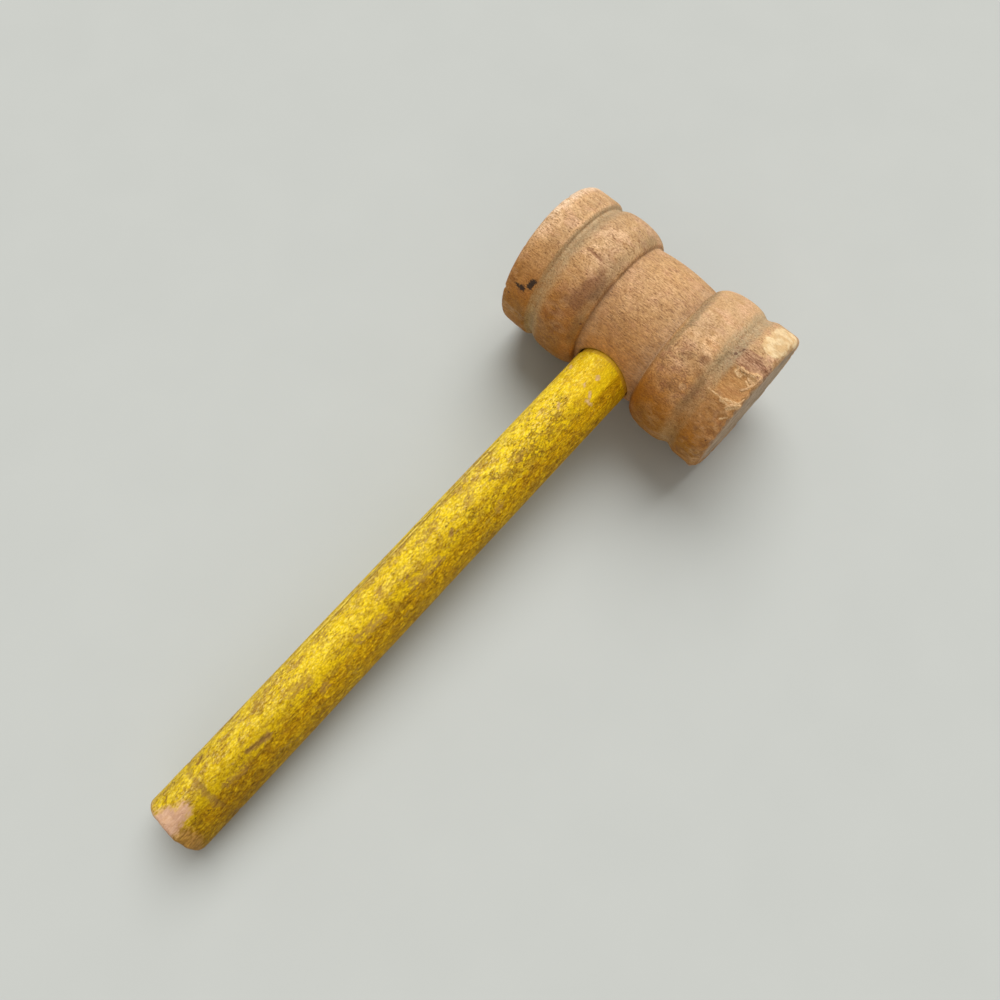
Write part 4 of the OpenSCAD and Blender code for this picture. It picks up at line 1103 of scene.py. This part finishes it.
def glue_material():
    w = Net("cured_wood_glue")
    co = w.t.nodes.new("ShaderNodeTexCoord").outputs["Object"]
    n = w.noise(w.scale(co, (900, 900, 900)), 1.0, 3.0, 0.6)
    w.put(w.bsdf.inputs["Base Color"], w.ramp(n, [(0.3, (0.30, 0.17, 0.07)), (0.7, (0.46, 0.30, 0.14))]))
    w.put(w.bsdf.inputs["Roughness"], w.step(n, 0.3, 0.7, 0.35, 0.55))
    w.put(w.bsdf.inputs["Normal"], w.bump(n, 0.4, 0.00008))
    return w.mat


# ---------------------------------------------------------------- the stage
def build_floor():
    bm = bmesh.new()
    bmesh.ops.create_grid(bm, x_segments=8, y_segments=8, size=4.0)
    me = bpy.data.meshes.new("floor")
    bm.to_mesh(me)
    bm.free()
    ob = bpy.data.objects.new("floor", me)
    bpy.context.scene.collection.objects.link(ob)
    w = Net("pale_floor")
    co = w.t.nodes.new("ShaderNodeTexCoord").outputs["Object"]
    n = w.noise(w.scale(co, (40, 40, 40)), 1.0, 2.0, 0.5)
    w.put(w.bsdf.inputs["Base Color"], w.ramp(n, [(0.3, (0.505, 0.533, 0.528)), (0.7, (0.515, 0.543, 0.538))]))
    w.bsdf.inputs["Roughness"].default_value = 0.85
    w.bsdf.inputs["Specular IOR Level"].default_value = 0.2
    me.materials.append(w.mat)
    ob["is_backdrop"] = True
    return ob


def soft(name, toward, spread, strength, colour):
    """A broad distant lamp, as soft as a large softbox of this many degrees."""
    lamp = bpy.data.lights.new(name, "SUN")
    lamp.angle = math.radians(spread)
    lamp.energy = strength
    lamp.color = colour
    ob = bpy.data.objects.new(name, lamp)
    ob.rotation_euler = Vector(toward).normalized().to_track_quat("Z", "Y").to_euler()
    bpy.context.scene.collection.objects.link(ob)
    return ob


def build_light():
    scene = bpy.context.scene
    soft("key", (-0.26, 0.50, 0.84), 52, 2.85, (1.0, 0.985, 0.955))
    soft("fill_low", (0.62, -0.74, 0.42), 50, 0.46, (1.0, 0.90, 0.76))
    world = bpy.data.worlds.new("studio")
    scene.world = world
    world.use_nodes = True
    bg = world.node_tree.nodes["Background"]
    bg.inputs[0].default_value = (1.0, 0.95, 0.87, 1)
    bg.inputs[1].default_value = 0.38


def build_camera():
    """The photograph's view: close to the mallet and a little to its right."""
    scene = bpy.context.scene
    cam = bpy.data.cameras.new("camera")
    cam.sensor_fit = "HORIZONTAL"
    cam.sensor_width = 36.0
    cam.lens = 36.0 * 0.83484
    cam.shift_x = 0.00396
    cam.shift_y = -0.00019
    cam.clip_start = 0.01
    cam.clip_end = 20
    rx, ry, rz = 2.713388, 1.047039, -0.195512
    angle = math.sqrt(rx * rx + ry * ry + rz * rz)
    rot = Matrix.Rotation(angle, 3, Vector((rx, ry, rz)) / angle)
    move = Vector((42.192771, -48.498027, 235.37787))
    centre = -(rot.transposed() @ move)
    right, down, ahead = rot[0].copy(), rot[1].copy(), rot[2].copy()
    lay = Matrix.Rotation(TILT, 3, "X")
    axes = [lay @ right, lay @ -down, lay @ -ahead]
    where = (lay @ centre + Vector((0, SHIFT_Y, HEAD_Z))) * 0.001
    mat = Matrix.Identity(4)
    for c in range(3):
        for q in range(3):
            mat[q][c] = axes[c][q]
        mat[c][3] = where[c]
    ob = bpy.data.objects.new("camera", cam)
    ob.matrix_world = mat
    scene.collection.objects.link(ob)
    scene.camera = ob


build_camera()
build_light()
build_floor()

head = build_head()
drill(head)
splinters(head)
sharpen(head, 48)
head.data.materials.clear()
head.data.materials.append(wood_head())
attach(head, "root")
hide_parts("head")

handle = build_handle()
sharpen(handle, 60)
handle.data.materials.append(painted_handle())
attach(handle, "root")
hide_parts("handle")

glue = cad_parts["glue"]
mat = glue_material()
for k in range(max(1, len(glue.material_slots))):
    if glue.material_slots:
        glue.material_slots[k].material = mat
    else:
        glue.data.materials.append(mat)

bpy.context.scene.view_settings.view_transform = "Standard"
bpy.context.scene.view_settings.look = "None"

plain = lambda box: [[float(v) for v in corner] for corner in box]
{"cad": plain(CAD_BOX), "visual": plain(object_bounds())}
